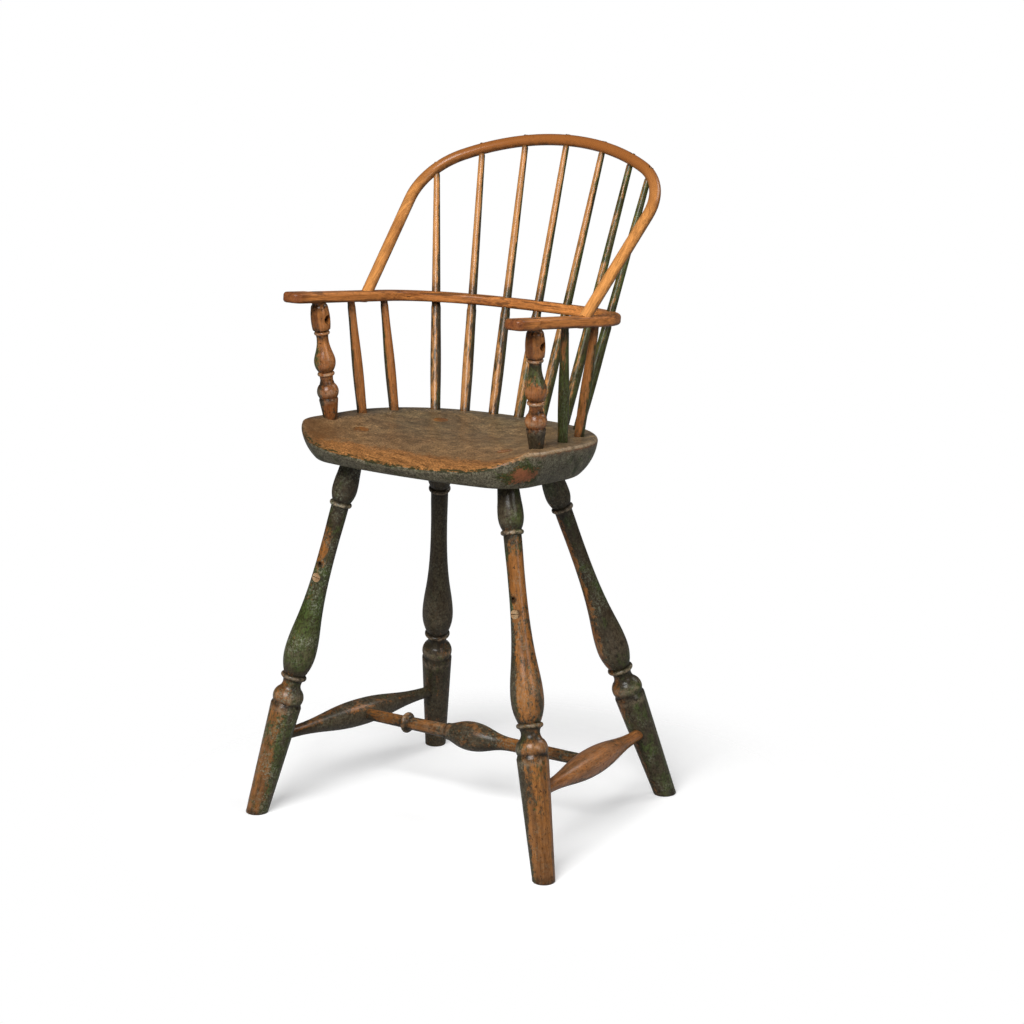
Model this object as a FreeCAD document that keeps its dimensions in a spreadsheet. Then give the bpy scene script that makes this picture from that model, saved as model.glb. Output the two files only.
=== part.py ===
import FreeCAD, Part
import math
import os
from collections import namedtuple

import Sketcher
from FreeCAD import Placement, Rotation, Vector

# Windsor high chair in millimetres. The origin is on the floor under the middle of the chair,
# Z points up, the sitter faces -Y, and left and right are as seen from the front.

# Driving dimensions: alias, value, meaning
SIZES = (
    ("glue_gap", "0.1", "room left round a tenon in its hole"),
    ("wedge_gap", "0.05", "room left round a wedge in its kerf"),
    ("hole_lead", "8", "how far a hole's tool runs out of the wood"),
    ("trim_size", "480", "side of the box that saws a piece off at a plane"),
    # Seat plank
    ("seat_height", "558.7", "rim plane above the floor at y = 0"),
    ("seat_tilt", "4.9", "degrees the rim plane falls to the back"),
    ("seat_half_width", "196", "middle to side edge"),
    ("seat_thickness", "53", "rim to underside"),
    ("seat_edge_inset", "25", "how far the edge curves in to the underside"),
    ("seat_blank_room", "5", "room round the plan before the edge is shaped"),
    ("seat_back_y", "109", "back edge"),
    ("seat_back_r", "380", "radius of the back edge"),
    ("seat_corner_r", "150", "radius of the back corners"),
    ("seat_front_y", "-217.5", "front edge"),
    ("seat_front_r", "700", "radius of the front edge"),
    ("seat_front_corner_r", "80", "radius of the front corners"),
    ("seat_lower_round", "12", "rounding of the lower edge"),
    ("seat_upper_round", "6", "rounding of the upper edge"),
    # Dish of the seat
    ("dish_depth", "11", "depth below the rim where the dish lies level"),
    ("dish_level_y", "-38", "where the dish lies level"),
    ("dish_back_r", "596", "radius of the rise to the back"),
    ("dish_front_r", "714", "radius of the fall to the front"),
    ("dish_nose_y", "-178", "where the dish starts to roll over the front"),
    ("dish_nose_r", "80", "radius of the roll over the front"),
    ("dish_front_y", "-226", "front end of the cut"),
    ("dish_back_y", "100", "back end of the cut"),
    ("dish_floor_half", "105", "half width of the flat stretch across"),
    ("dish_floor_r", "1800", "radius of the flat stretch across"),
    ("dish_side_r", "230", "radius of the sides across"),
    ("dish_half_width", "226", "half width of the cut"),
    ("dish_headroom", "75", "height of the cut"),
    # Leg positions
    ("front_foot_x", "244", "middle to front foot"),
    ("front_foot_y", "-211", "front foot"),
    ("front_top_x", "117", "middle to front leg at the rim plane"),
    ("front_top_y", "-115.4", "front leg at the rim plane"),
    ("rear_foot_x", "203.5", "middle to rear foot"),
    ("rear_foot_y", "177", "rear foot"),
    ("rear_top_x", "78.4", "middle to rear leg at the rim plane"),
    ("rear_top_y", "17.3", "rear leg at the rim plane"),
    ("foot_round", "2", "rounding of the foot's edge"),
    # Stretchers
    ("stretcher_front_z", "113", "side stretcher above the floor at the front leg"),
    ("stretcher_rear_z", "98", "side stretcher above the floor at the rear leg"),
    # Remains of the footrest in the front legs
    ("footrest_peg_at", "360", "peg above the floor, along the leg"),
    ("footrest_peg_r", "6.4", "peg radius"),
    ("footrest_peg_face", "12", "sawn face of the peg from the leg's axis"),
    ("footrest_peg_length", "17", "length of the peg left in the leg"),
    ("footrest_split", "1.2", "width of the split across the peg"),
    ("footrest_split_depth", "2", "depth of the split"),
    ("footrest_nail_at", "381", "nail hole above the floor, along the leg"),
    ("footrest_nail_r", "2.1", "nail hole radius"),
    ("footrest_nail_depth", "7", "nail hole depth"),
    # Arm posts
    ("post_foot_x", "170.6", "middle to post at the seat"),
    ("post_foot_y", "-119", "post at the seat"),
    ("post_top_x", "177.3", "middle to post at the arm rail"),
    ("post_top_y", "-132.6", "post at the arm rail"),
    ("post_upper_tenon_r", "8.4", "radius of the tenon in the arm rail"),
    ("bar_bore_at", "141", "retaining bar bore above the seat, along the post"),
    ("bar_bore_r", "6.5", "retaining bar bore radius"),
    # Arm rail
    ("arm_height", "747.7", "mid-plane of the rail above the floor at the hands"),
    ("arm_tilt", "7.6", "degrees the rail falls to the back"),
    ("arm_tip_y", "-194", "front end of the hands"),
    ("arm_half_width", "178", "middle to centre line of an arm"),
    ("arm_corner_r", "125", "centre line radius of the back corners"),
    ("arm_back_r", "480", "centre line radius of the back"),
    ("arm_length", "348", "hands to centre line of the back"),
    ("arm_width", "26", "width of the rail"),
    ("arm_thickness", "14.5", "thickness of the rail"),
    ("arm_round", "4.5", "rounding of the long edges"),
    ("arm_tip_round", "12", "rounding of the tip's inner corner"),
    # Hand blocks glued to the outside of the arms
    ("hand_rebate", "5", "depth of the flat cut for the block"),
    ("hand_length", "52", "length of the block"),
    ("hand_width", "9.5", "width of the block"),
    ("hand_front_round", "9", "rounding of the front corner"),
    ("hand_rear_round", "8", "rounding of the rear corner"),
    # Bow
    ("bow_foot_y", "-20", "where the bow crosses the arm rail's mid-plane"),
    ("bow_rake", "40.1", "degrees of the bow's plane above level"),
    ("bow_foot_x", "180", "middle to foot"),
    ("bow_half_width", "197", "middle to widest part"),
    ("bow_corner_r", "94", "radius of the shoulders"),
    ("bow_top_r", "300", "radius of the top"),
    ("bow_length", "319", "feet to top along the bow's plane"),
    ("bow_set", "-1.5", "how far the top is set over to the right of the feet"),
    ("bow_lean", "1.3", "degrees the bow leans to the left in its plane"),
    ("bow_r", "8.2", "radius of the bow's section"),
    ("bow_tenon_r", "6", "radius of the tenon at the foot"),
    ("bow_tenon_length", "38", "length of the tenon"),
    ("bow_tenon_root", "20", "length of the tenon inside the bow"),
    ("bow_tenon_proud", "1.2", "how far the tenon stands out under the rail"),
    # Spindles: feet on the seat, tops on the bow or the arm rail
    ("centre_foot_y", "98.3", "middle long spindle at the seat"),
    ("inner_foot_x", "40.4", "middle to inner long spindle at the seat"),
    ("inner_foot_y", "93.8", "inner long spindle at the seat"),
    ("middle_foot_x", "84.1", "middle to next long spindle at the seat"),
    ("middle_foot_y", "85.7", "next long spindle at the seat"),
    ("outer_foot_x", "121", "middle to outer long spindle at the seat"),
    ("outer_foot_y", "64.8", "outer long spindle at the seat"),
    ("spindle_1_top_x", "-180.7", "long spindle 1 at the bow, from its middle"),
    ("spindle_2_top_x", "-122.8", "long spindle 2 at the bow, from its middle"),
    ("spindle_3_top_x", "-58.3", "long spindle 3 at the bow, from its middle"),
    ("spindle_4_top_x", "8.6", "long spindle 4 at the bow, from its middle"),
    ("spindle_5_top_x", "72.2", "long spindle 5 at the bow, from its middle"),
    ("spindle_6_top_x", "126.5", "long spindle 6 at the bow, from its middle"),
    ("spindle_7_top_x", "166.2", "long spindle 7 at the bow, from its middle"),
    ("front_short_foot_x", "167.7", "middle to front short spindle at the seat"),
    ("front_short_foot_y", "-48.9", "front short spindle at the seat"),
    ("front_short_top_x", "177", "middle to front short spindle at the arm rail"),
    ("front_short_top_y", "-58.9", "front short spindle at the arm rail"),
    ("rear_short_foot_x", "155.7", "middle to rear short spindle at the seat"),
    ("rear_short_foot_y", "11.6", "rear short spindle at the seat"),
    ("rear_short_top_x", "176.4", "middle to rear short spindle at the arm rail"),
    ("rear_short_top_y", "18.5", "rear short spindle at the arm rail"),
    # Wedges in the through tenons
    ("leg_wedge_length", "16", "length"),
    ("leg_wedge_width", "17", "width"),
    ("leg_wedge_head", "2.4", "thickness at the head"),
    ("post_wedge_length", "11", "length"),
    ("post_wedge_width", "12.5", "width"),
    ("post_wedge_head", "2", "thickness at the head"),
    ("bow_wedge_length", "9", "length"),
    ("bow_wedge_width", "8.5", "width"),
    ("bow_wedge_head", "1.6", "thickness at the head"),
    ("spindle_wedge_length", "6", "length"),
    ("spindle_wedge_width", "5", "width"),
    ("spindle_wedge_head", "1.2", "thickness at the head"),
    ("wedge_tip", "0.4", "thickness at the tip of every wedge"),
    ("wedge_recess", "0.7", "how far a wedge's head lies below the surface"),
)

# A turned piece is a row of stations along its axis. Its profile reaches each station as a line,
# an arc that rises from its chord by bend, a swell that arrives or a fade that leaves parallel to
# the axis, or a sweep that does both, with bend giving its two leads as shares of its length.
# A station with an anchor is measured from that point of the piece, not from its foot.
Station = namedtuple("Station", "name at radius shape bend anchor", defaults=("line", (), None))

LEG = (
    Station("base", "-8", "15.2"),
    Station("shoulder", "166", "22"),
    Station("groove", "171", "20.2"),
    Station("bead", "190", "17.6", "arc", ("3",)),
    Station("cove", "206.5", "15.2", "arc", ("-3.2",)),
    Station("ring", "213.5", "15.2", "arc", ("3.3",)),
    Station("vase", "246", "22.6", "swell"),
    Station("neck", "405", "11.8", "sweep", ("0.25", "0.69")),
    Station("throat", "466", "12.4", "sweep", ("0.5", "0.5")),
    Station("collar", "473", "13", "arc", ("3.1",)),
    Station("bulb", "492", "17.7", "swell"),
    Station("tenon", "512", "16.2", "fade"),
    Station("end", "606", "9"),
)
SIDE_STRETCHER = (
    Station("front_end", "-6", "8.2"),
    Station("front_neck", "23", "8.2"),
    Station("swell", "0", "19.5", "sweep", ("0.45", "0.42"), "middle"),
    Station("rear_neck", "-23", "8.2", "sweep", ("0.42", "0.45"), "far_end"),
    Station("rear_end", "6", "8.2", anchor="far_end"),
)
MEDIAL_STRETCHER = (
    Station("left_end", "-5", "8.2"),
    Station("left_rod", "82", "9"),
    Station("left_fillet", "83", "11.6"),
    Station("left_ring", "91", "11.6", "arc", ("3.6",)),
    Station("left_neck", "93", "9.4"),
    Station("lip_foot", "-45", "10.2", anchor="middle"),
    Station("lip", "-43", "12", anchor="middle"),
    Station("belly", "-1", "21", "sweep", ("0.3", "0.5"), "middle"),
    Station("waist", "68", "9.6", "sweep", ("0.4", "0.45"), "middle"),
    Station("right_neck", "-93", "9.4", anchor="far_end"),
    Station("right_fillet", "-91", "11.6", anchor="far_end"),
    Station("right_ring", "-83", "11.6", "arc", ("3.6",), "far_end"),
    Station("right_rod", "-82", "9", anchor="far_end"),
    Station("right_end", "5", "8.2", anchor="far_end"),
)
ARM_POST = (
    Station("tenon", "-36", "8"),
    Station("foot", "0", "9.8"),
    Station("base", "26", "13.4"),
    Station("groove", "29", "12.4"),
    Station("bulb", "48", "10.6", "arc", ("3.6",)),
    Station("low_neck", "54", "8.9"),
    Station("ring_foot", "60", "9.4"),
    Station("ring", "65.5", "9.6", "arc", ("2.5",)),
    Station("vase", "80", "15", "swell"),
    Station("neck", "114", "8.2", "sweep", ("0.3", "0.5")),
    Station("collar_foot", "118.5", "8.6"),
    Station("collar", "123.5", "9", "arc", ("2.2",)),
    Station("block", "126", "12.3"),
    Station("crown", "-8", "12.1", "arc", ("1.3",), "arm"),
    Station("shoulder", "-2", "9.6", "fade", anchor="arm"),
    Station("end", "8", "9.6", anchor="arm"),
)
SHORT_SPINDLE = (
    Station("tenon", "-32", "5.6"),
    Station("foot", "0", "7"),
    Station("swell", "55", "7.6", "sweep", ("0.5", "0.5")),
    Station("top", "-8", "5.6", "sweep", ("0.4", "0.4"), "arm"),
    Station("neck", "-4", "5.2", anchor="arm"),
    Station("end", "9", "5.2", anchor="arm"),
)
LONG_SPINDLE = (
    Station("tenon", "-32", "5.6"),
    Station("foot", "0", "7.2"),
    Station("swell", "60", "7.7", "sweep", ("0.5", "0.5")),
    Station("under_arm", "-16", "6.9", "sweep", ("0.4", "0.4"), "arm"),
    Station("arm_in", "-11.5", "6.2", anchor="arm"),
    Station("arm_out", "11.5", "6.2", anchor="arm"),
    Station("top", "-10", "4.5", anchor="bow"),
    Station("neck", "-7", "3.7", anchor="bow"),
    Station("end", "8.4", "3.7", anchor="bow"),
)
TURNINGS = {
    "leg": LEG,
    "side_stretcher": SIDE_STRETCHER,
    "medial_stretcher": MEDIAL_STRETCHER,
    "post": ARM_POST,
    "short_spindle": SHORT_SPINDLE,
    "long_spindle": LONG_SPINDLE,
}

doc = FreeCAD.newDocument("windsor_high_chair")
sheet = doc.addObject("Spreadsheet::Sheet", "dims")


def turning_sizes():
    """Yield the sheet rows of every turned piece's stations."""
    for piece, stations in TURNINGS.items():
        for station in stations:
            name = f"{piece}_{station.name}"
            yield f"{name}_at", station.at, "place along the axis"
            yield f"{name}_r", station.radius, "radius"
            for number, bend in enumerate(station.bend, start=1):
                yield f"{name}_bend_{number}", bend, "how the profile bends to get there"


def fill_sheet():
    """Write the driving dimensions into the sheet, one aliased cell each."""
    for row, (alias, value, meaning) in enumerate((*SIZES, *turning_sizes()), start=1):
        sheet.set(f"A{row}", meaning)
        sheet.set(f"B{row}", value)
        sheet.setAlias(f"B{row}", alias)
    doc.recompute()


def size(expression):
    """Return the number that an expression over the sheet comes to."""
    return float(sheet.evalExpression(expression))


def turned_by(axis, expression):
    """Return the rotation about an axis by an angle held in the sheet."""
    return Rotation(axis, size(expression))


def along(start, end):
    """Return the placement at start whose Z points to end."""
    return Placement(start, Rotation(Vector(0, 0, 1), end - start))


def on_plane(plane, x, y):
    """Return the point of a placement's XY plane straight above or below (x, y)."""
    normal = plane.Rotation.multVec(Vector(0, 0, 1))
    base = plane.Base
    rise = (normal.x * (x - base.x) + normal.y * (y - base.y)) / normal.z
    return Vector(x, y, base.z - rise)


def distance_to(axis, plane):
    """Return how far along a placement's Z axis a placement's XY plane lies."""
    normal = plane.Rotation.multVec(Vector(0, 0, 1))
    direction = axis.Rotation.multVec(Vector(0, 0, 1))
    return normal.dot(plane.Base - axis.Base) / normal.dot(direction)


def moved(place, distance):
    """Return a placement moved along its own Z axis."""
    return place * Placement(Vector(0, 0, distance), Rotation())


def flipped(place):
    """Return a placement turned over, so that its Z points the other way."""
    return place * Placement(Vector(), Rotation(Vector(1, 0, 0), 180))


def new_body(label, place):
    """Add a body with its label and its place in the chair."""
    body = doc.addObject("PartDesign::Body", label)
    body.Label = label
    body.Placement = place
    return body


def new_sketch(body, name, role, offset=None):
    """Add a sketch on one of the body's own origin planes."""
    sketch = body.newObject("Sketcher::SketchObject", f"{body.Name}_{name}")
    plane = next(item for item in body.Origin.OriginFeatures if item.Role == role)
    sketch.AttachmentSupport = [(plane, "")]
    sketch.MapMode = "FlatFace"
    if offset is not None:
        sketch.AttachmentOffset = offset
    doc.recompute()
    return sketch


def constrain(sketch, kind, *places, to=None):
    """Add a constraint; to is the sheet expression that sets its size."""
    if to is None:
        sketch.addConstraint(Sketcher.Constraint(kind, *places))
        return
    index = sketch.addConstraint(Sketcher.Constraint(kind, *places, size(to)))
    sketch.setExpression(f"Constraints[{index}]", to)


def pin(sketch, geometry, point, x=None, y=None):
    """Hold a point at the sheet expressions x and y; one left out stays free."""
    origin = (-1, 1)
    for kind, axis, expression in (("DistanceX", -2, x), ("DistanceY", -1, y)):
        if expression is None:
            continue
        value = size(expression)
        if value == 0:
            constrain(sketch, "PointOnObject", geometry, point, axis)
        elif value > 0:
            constrain(sketch, kind, *origin, geometry, point, to=expression)
        else:
            constrain(sketch, kind, geometry, point, *origin, to=f"-({expression})")


def arc(centre, radius, start, end):
    """Return a sketch arc between two angles in radians, running anticlockwise."""
    circle = Part.Circle(Vector(centre[0], centre[1], 0), Vector(0, 0, 1), radius)
    return Part.ArcOfCircle(circle, start, end)


def finish(body, feature):
    """Recompute and stop on a feature that failed or changed nothing."""
    before = feature.BaseFeature.Shape.Volume if feature.BaseFeature else 0.0
    doc.recompute()
    if "Up-to-date" not in feature.State or not feature.Shape.isValid():
        raise RuntimeError(f"{feature.Name} failed: {feature.State}")
    if abs(feature.Shape.Volume - before) < 1e-3:
        raise RuntimeError(f"{feature.Name} changed nothing in {body.Label}")
    return feature


def pad(body, sketch, length, **settings):
    """Pad a sketch; settings hold the pad's plain properties."""
    feature = body.newObject("PartDesign::Pad", f"{body.Name}_pad")
    feature.Profile = sketch
    feature.setExpression("Length", length)
    for name, value in settings.items():
        setattr(feature, name, value)
    return feature


def fillet(body, radius, wanted):
    """Round the edges of the body that wanted picks."""
    base = body.Tip
    edges = [f"Edge{number}" for number, edge in enumerate(base.Shape.Edges, start=1) if wanted(edge)]
    feature = body.newObject("PartDesign::Fillet", f"{body.Name}_round")
    feature.Base = (base, edges)
    feature.setExpression("Radius", radius)
    return finish(body, feature)


def primitive(body, kind, name, place, **sizes):
    """Add a PartDesign primitive at a place in the chair, its sizes bound to the sheet."""
    feature = body.newObject(f"PartDesign::{kind}", f"{body.Name}_{name}")
    feature.Placement = body.Placement.inverse() * place
    for size_name, expression in sizes.items():
        feature.setExpression(size_name, expression)
    return finish(body, feature)


def bore(body, name, place, radius, depth):
    """Drill a straight hole along the Z of a place in the chair."""
    return primitive(body, "SubtractiveCylinder", name, place, Radius=radius, Height=depth)


def trim(body, name, plane):
    """Saw off what lies on the Z side of a plane given as a placement in the chair."""
    half = size("dims.trim_size / 2")
    corner = plane * Placement(Vector(-half, -half, 0), Rotation())
    side = "dims.trim_size"
    return primitive(body, "SubtractiveBox", name, corner, Length=side, Width=side, Height=side)


def taper_hole(body, name, place, narrow, wide):
    """Cut the hole of a tapered tenon that runs between two stations of its piece."""
    narrow_at, narrow_r = f"dims.{narrow}_at", f"dims.{narrow}_r"
    wide_at, wide_r = f"dims.{wide}_at", f"dims.{wide}_r"
    slope = f"({wide_r} - {narrow_r}) / ({wide_at} - {narrow_at})"
    if size(wide_at) > size(narrow_at):
        start, first, last = narrow_at, narrow_r, f"{wide_r} + {slope} * dims.hole_lead"
        length = f"{wide_at} - {narrow_at} + dims.hole_lead"
    else:
        start, first, last = wide_at, wide_r, narrow_r
        length = f"{narrow_at} - {wide_at}"
    return primitive(
        body, "SubtractiveCone", name, moved(place, size(start)),
        Radius1=f"{first} + dims.glue_gap", Radius2=f"{last} + dims.glue_gap", Height=length,
    )


def joined(sketch, first, first_end, second, second_end):
    """Join two ends of a profile."""
    constrain(sketch, "Coincident", first, first_end, second, second_end)


def profile_arc(sketch, start, end, station):
    """Add the arc from one profile point to the next and bind its radius."""
    (x0, y0), (x1, y1) = [(size(x), size(y)) for x, y in (start, end)]
    across = f"({end[0]} - ({start[0]}))"
    length = f"({end[1]} - ({start[1]}))"
    if station.shape == "arc":
        rise_name = f"dims.{station.name}_bend_1"
        rise = size(rise_name)
        radius = f"({across}^2 + {length}^2) / (8 * abs({rise_name})) + abs({rise_name}) / 2"
    else:
        radius = f"({across}^2 + {length}^2) / (2 * abs({across}))"
        reach = size(radius)
        half_chord = math.hypot(x1 - x0, y1 - y0) / 2
        rise = reach - math.sqrt(reach ** 2 - half_chord ** 2)
    chord = Vector(x1 - x0, y1 - y0, 0)
    outward = Vector(chord.y, -chord.x, 0).normalize()
    middle = Vector((x0 + x1) / 2, (y0 + y1) / 2, 0) + outward * rise
    ends = [Vector(x0, y0, 0), Vector(x1, y1, 0)]
    order = (1, 2)
    if rise < 0:
        ends.reverse()
        order = (2, 1)
    geometry = sketch.addGeometry(Part.Arc(ends[0], middle, ends[1]))
    constrain(sketch, "Radius", geometry, to=radius)
    return geometry, order


def profile_sweep(sketch, start, end, station):
    """Add the curve that leaves and arrives parallel to the axis and bind its poles."""
    length = f"({end[1]} - ({start[1]}))"
    poles = (
        start,
        (start[0], f"{start[1]} + dims.{station.name}_bend_1 * {length}"),
        (end[0], f"{end[1]} - dims.{station.name}_bend_2 * {length}"),
        end,
    )
    curve = Part.BSplineCurve()
    points = [Vector(size(x), size(y), 0) for x, y in poles]
    curve.buildFromPolesMultsKnots(points, [4, 4], [0, 1], False, 3)
    geometry = sketch.addGeometry(curve)
    first_pole = geometry + 1
    sketch.exposeInternalGeometry(geometry)
    for number in (1, 2):
        pin(sketch, first_pole + number, 3, *poles[number])
    return geometry, (1, 2)


def turned(label, piece, place, anchors=None):
    """Add a body turned about its Z axis from the stations of a piece."""
    body = new_body(label, place)
    sketch = new_sketch(body, "profile", "XZ_Plane")
    points = []
    for station in TURNINGS[piece]:
        at = f"dims.{piece}_{station.name}_at"
        if station.anchor:
            at = f"{anchors[station.anchor]:.6f} + {at}"
        points.append((f"dims.{piece}_{station.name}_r", at))
    outline = [("0", points[0][1]), *points, ("0", points[-1][1])]
    shapes = ["line", *(station.shape for station in TURNINGS[piece][1:]), "line", "line"]
    stations = [None, *TURNINGS[piece][1:], None, None]
    pieces = []
    for number, shape in enumerate(shapes):
        start = outline[number]
        end = outline[(number + 1) % len(outline)]
        if shape == "line":
            ends = [Vector(size(x), size(y), 0) for x, y in (start, end)]
            geometry, order = sketch.addGeometry(Part.LineSegment(*ends)), (1, 2)
        else:
            station = stations[number]._replace(name=f"{piece}_{stations[number].name}")
            draw = profile_sweep if shape == "sweep" else profile_arc
            geometry, order = draw(sketch, start, end, station)
        pin(sketch, geometry, order[0], *start)
        pieces.append((geometry, order))
    for (first, first_order), (second, second_order) in zip(pieces, pieces[1:] + pieces[:1]):
        joined(sketch, first, first_order[1], second, second_order[0])
    turning = body.newObject("PartDesign::Revolution", f"{label}_turning")
    turning.Profile = sketch
    turning.ReferenceAxis = (sketch, ["V_Axis"])
    turning.Angle = 360
    finish(body, turning)
    return body


def bent_line(sketch, foot_x, half_width, corner_r, back_r, back_y, set_over="0"):
    """Draw a line bent round a back: leg, corner, back, corner, leg. Sizes are expressions."""
    foot, wide, shift = size(foot_x), size(half_width), size(set_over)
    corner, back, top = size(corner_r), size(back_r), size(back_y)
    centre_x = wide - corner
    centre_y = top - back + math.sqrt((back - corner) ** 2 - centre_x ** 2)
    meet = math.atan2(centre_y - top + back, centre_x)
    leaves = []
    tangents = []
    for sign in (1, -1):
        inset = foot - sign * shift - centre_x
        leave = math.atan2(-centre_y, inset) + math.acos(corner / math.hypot(inset, centre_y))
        tangent_x = sign * (centre_x + corner * math.cos(leave)) + shift
        tangents.append(Vector(tangent_x, centre_y + corner * math.sin(leave), 0))
        leaves.append(leave)
    shapes = (
        Part.LineSegment(Vector(foot, 0, 0), tangents[0]),
        arc((shift + centre_x, centre_y), corner, leaves[0], meet),
        arc((shift, top - back), back, meet, math.pi - meet),
        arc((shift - centre_x, centre_y), corner, math.pi - meet, math.pi - leaves[1]),
        Part.LineSegment(tangents[1], Vector(-foot, 0, 0)),
    )
    ids = [sketch.addGeometry(shape) for shape in shapes]
    for first, second in zip(ids, ids[1:]):
        constrain(sketch, "Tangent", first, 2, second, 1)
    right, right_corner, crown, left_corner, left = ids
    constrain(sketch, "Radius", right_corner, to=corner_r)
    constrain(sketch, "Equal", right_corner, left_corner)
    constrain(sketch, "Radius", crown, to=back_r)
    pin(sketch, crown, 3, set_over, f"{back_y} - ({back_r})")
    pin(sketch, right_corner, 3, f"{set_over} + {half_width} - ({corner_r})")
    pin(sketch, left_corner, 3, f"{set_over} - ({half_width} - ({corner_r}))")
    pin(sketch, right, 1, foot_x, "0")
    pin(sketch, left, 2, f"-({foot_x})", "0")
    return ids, tangents


def seat_outline(sketch, room="0"):
    """Draw the seat's plan, with room left all round: bowed ends, rounded corners, straight sides."""
    sizes = {
        name: f"dims.seat_{name} + {room}"
        for name in ("half_width", "back_r", "corner_r", "front_r", "front_corner_r")
    }
    wide, back, corner, front, front_corner = [size(expression) for expression in sizes.values()]
    back_centre = "dims.seat_back_y - dims.seat_back_r"
    front_centre = "dims.seat_front_y + dims.seat_front_r"
    corner_x = wide - corner
    rise = math.sqrt((back - corner) ** 2 - corner_x ** 2)
    corner_y = size(back_centre) + rise
    meet = math.atan2(rise, corner_x)
    front_x = wide - front_corner
    drop = math.sqrt((front - front_corner) ** 2 - front_x ** 2)
    front_corner_y = size(front_centre) - drop
    front_meet = math.atan2(-drop, front_x)
    shapes = (
        arc((0, size(back_centre)), back, meet, math.pi - meet),
        arc((-corner_x, corner_y), corner, math.pi - meet, math.pi),
        Part.LineSegment(Vector(-wide, corner_y, 0), Vector(-wide, front_corner_y, 0)),
        arc((-front_x, front_corner_y), front_corner, math.pi, math.pi - front_meet),
        arc((0, size(front_centre)), front, math.pi - front_meet, 2 * math.pi + front_meet),
        arc((front_x, front_corner_y), front_corner, front_meet, 0),
        Part.LineSegment(Vector(wide, front_corner_y, 0), Vector(wide, corner_y, 0)),
        arc((corner_x, corner_y), corner, 0, meet),
    )
    ids = [sketch.addGeometry(shape) for shape in shapes]
    for first, second in zip(ids, ids[1:] + ids[:1]):
        constrain(sketch, "Tangent", first, 2, second, 1)
    rear, left_rear, left, left_front, nose, right_front, right, right_rear = ids
    for side, sign in ((left, "-"), (right, "")):
        constrain(sketch, "Vertical", side)
        pin(sketch, side, 1, f"{sign}({sizes['half_width']})")
    constrain(sketch, "Radius", rear, to=sizes["back_r"])
    constrain(sketch, "Radius", left_rear, to=sizes["corner_r"])
    constrain(sketch, "Equal", left_rear, right_rear)
    constrain(sketch, "Radius", left_front, to=sizes["front_corner_r"])
    constrain(sketch, "Equal", left_front, right_front)
    constrain(sketch, "Radius", nose, to=sizes["front_r"])
    pin(sketch, rear, 3, "0", back_centre)
    pin(sketch, nose, 3, "0", front_centre)
    doc.recompute()
    return left, left_front, nose, right_front, right, right_rear, rear, left_rear


def edge_section(sketch):
    """Draw what is shaved off round the seat, so that its edge curves in to the underside."""
    wide, inset, thick, room = [
        size(f"dims.seat_{name}") for name in ("half_width", "edge_inset", "thickness", "blank_room")
    ]
    radius = (thick ** 2 + inset ** 2) / (2 * inset)
    turn = math.asin(thick / radius)
    corners = (
        Vector(inset - wide, -thick, 0), Vector(inset - wide, -thick - room, 0),
        Vector(-wide - 2 * room, -thick - room, 0), Vector(-wide - 2 * room, room, 0),
        Vector(-wide, room, 0), Vector(-wide, 0, 0),
    )
    curve = sketch.addGeometry(arc((radius - wide, 0), radius, math.pi, math.pi + turn))
    lines = [sketch.addGeometry(Part.LineSegment(*ends)) for ends in zip(corners, corners[1:])]
    around = [curve, *lines]
    for first, second in zip(around, around[1:] + around[:1]):
        joined(sketch, first, 2, second, 1)
    drop, under, outside, over, top = lines
    for line in (drop, outside, top):
        constrain(sketch, "Vertical", line)
    for line in (under, over):
        constrain(sketch, "Horizontal", line)
    pin(sketch, curve, 1, "-dims.seat_half_width", "0")
    pin(sketch, curve, 2, "dims.seat_edge_inset - dims.seat_half_width", "-dims.seat_thickness")
    pin(sketch, curve, 3, None, "0")
    pin(sketch, under, 2, "-dims.seat_half_width - 2 * dims.seat_blank_room",
        "-dims.seat_thickness - dims.seat_blank_room")
    pin(sketch, over, 2, None, "dims.seat_blank_room")


def dish_path(sketch):
    """Draw the dish from front to back: a roll over the lip, a fall to it and a rise to the back."""
    level, depth = size("dims.dish_level_y"), size("dims.dish_depth")
    fall, rise, roll = size("dims.dish_front_r"), size("dims.dish_back_r"), size("dims.dish_nose_r")
    nose_y, front_y = size("dims.dish_nose_y"), size("dims.dish_front_y")
    fall_end = math.pi - math.acos((level - nose_y) / fall)
    rise_end = -math.acos((size("dims.dish_back_y") - level) / rise)
    roll_y = nose_y - roll * math.cos(fall_end)
    roll_z = (fall - roll) * math.sin(fall_end) - depth - fall
    roll_end = math.acos((front_y - roll_y) / roll)
    nose = sketch.addGeometry(arc((roll_y, roll_z), roll, fall_end, roll_end))
    front = sketch.addGeometry(arc((level, -depth - fall), fall, math.pi / 2, fall_end))
    back = sketch.addGeometry(arc((level, rise - depth), rise, -math.pi / 2, rise_end))
    constrain(sketch, "Radius", nose, to="dims.dish_nose_r")
    constrain(sketch, "Radius", front, to="dims.dish_front_r")
    constrain(sketch, "Radius", back, to="dims.dish_back_r")
    constrain(sketch, "Tangent", front, 2, nose, 1)
    pin(sketch, front, 3, "dims.dish_level_y", "-dims.dish_depth - dims.dish_front_r")
    pin(sketch, back, 3, "dims.dish_level_y")
    pin(sketch, front, 1, "dims.dish_level_y")
    joined(sketch, front, 1, back, 1)
    pin(sketch, front, 2, "dims.dish_nose_y")
    pin(sketch, nose, 2, "dims.dish_front_y")
    pin(sketch, back, 2, "dims.dish_back_y")
    return sketch.Geometry[nose].EndPoint


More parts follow.
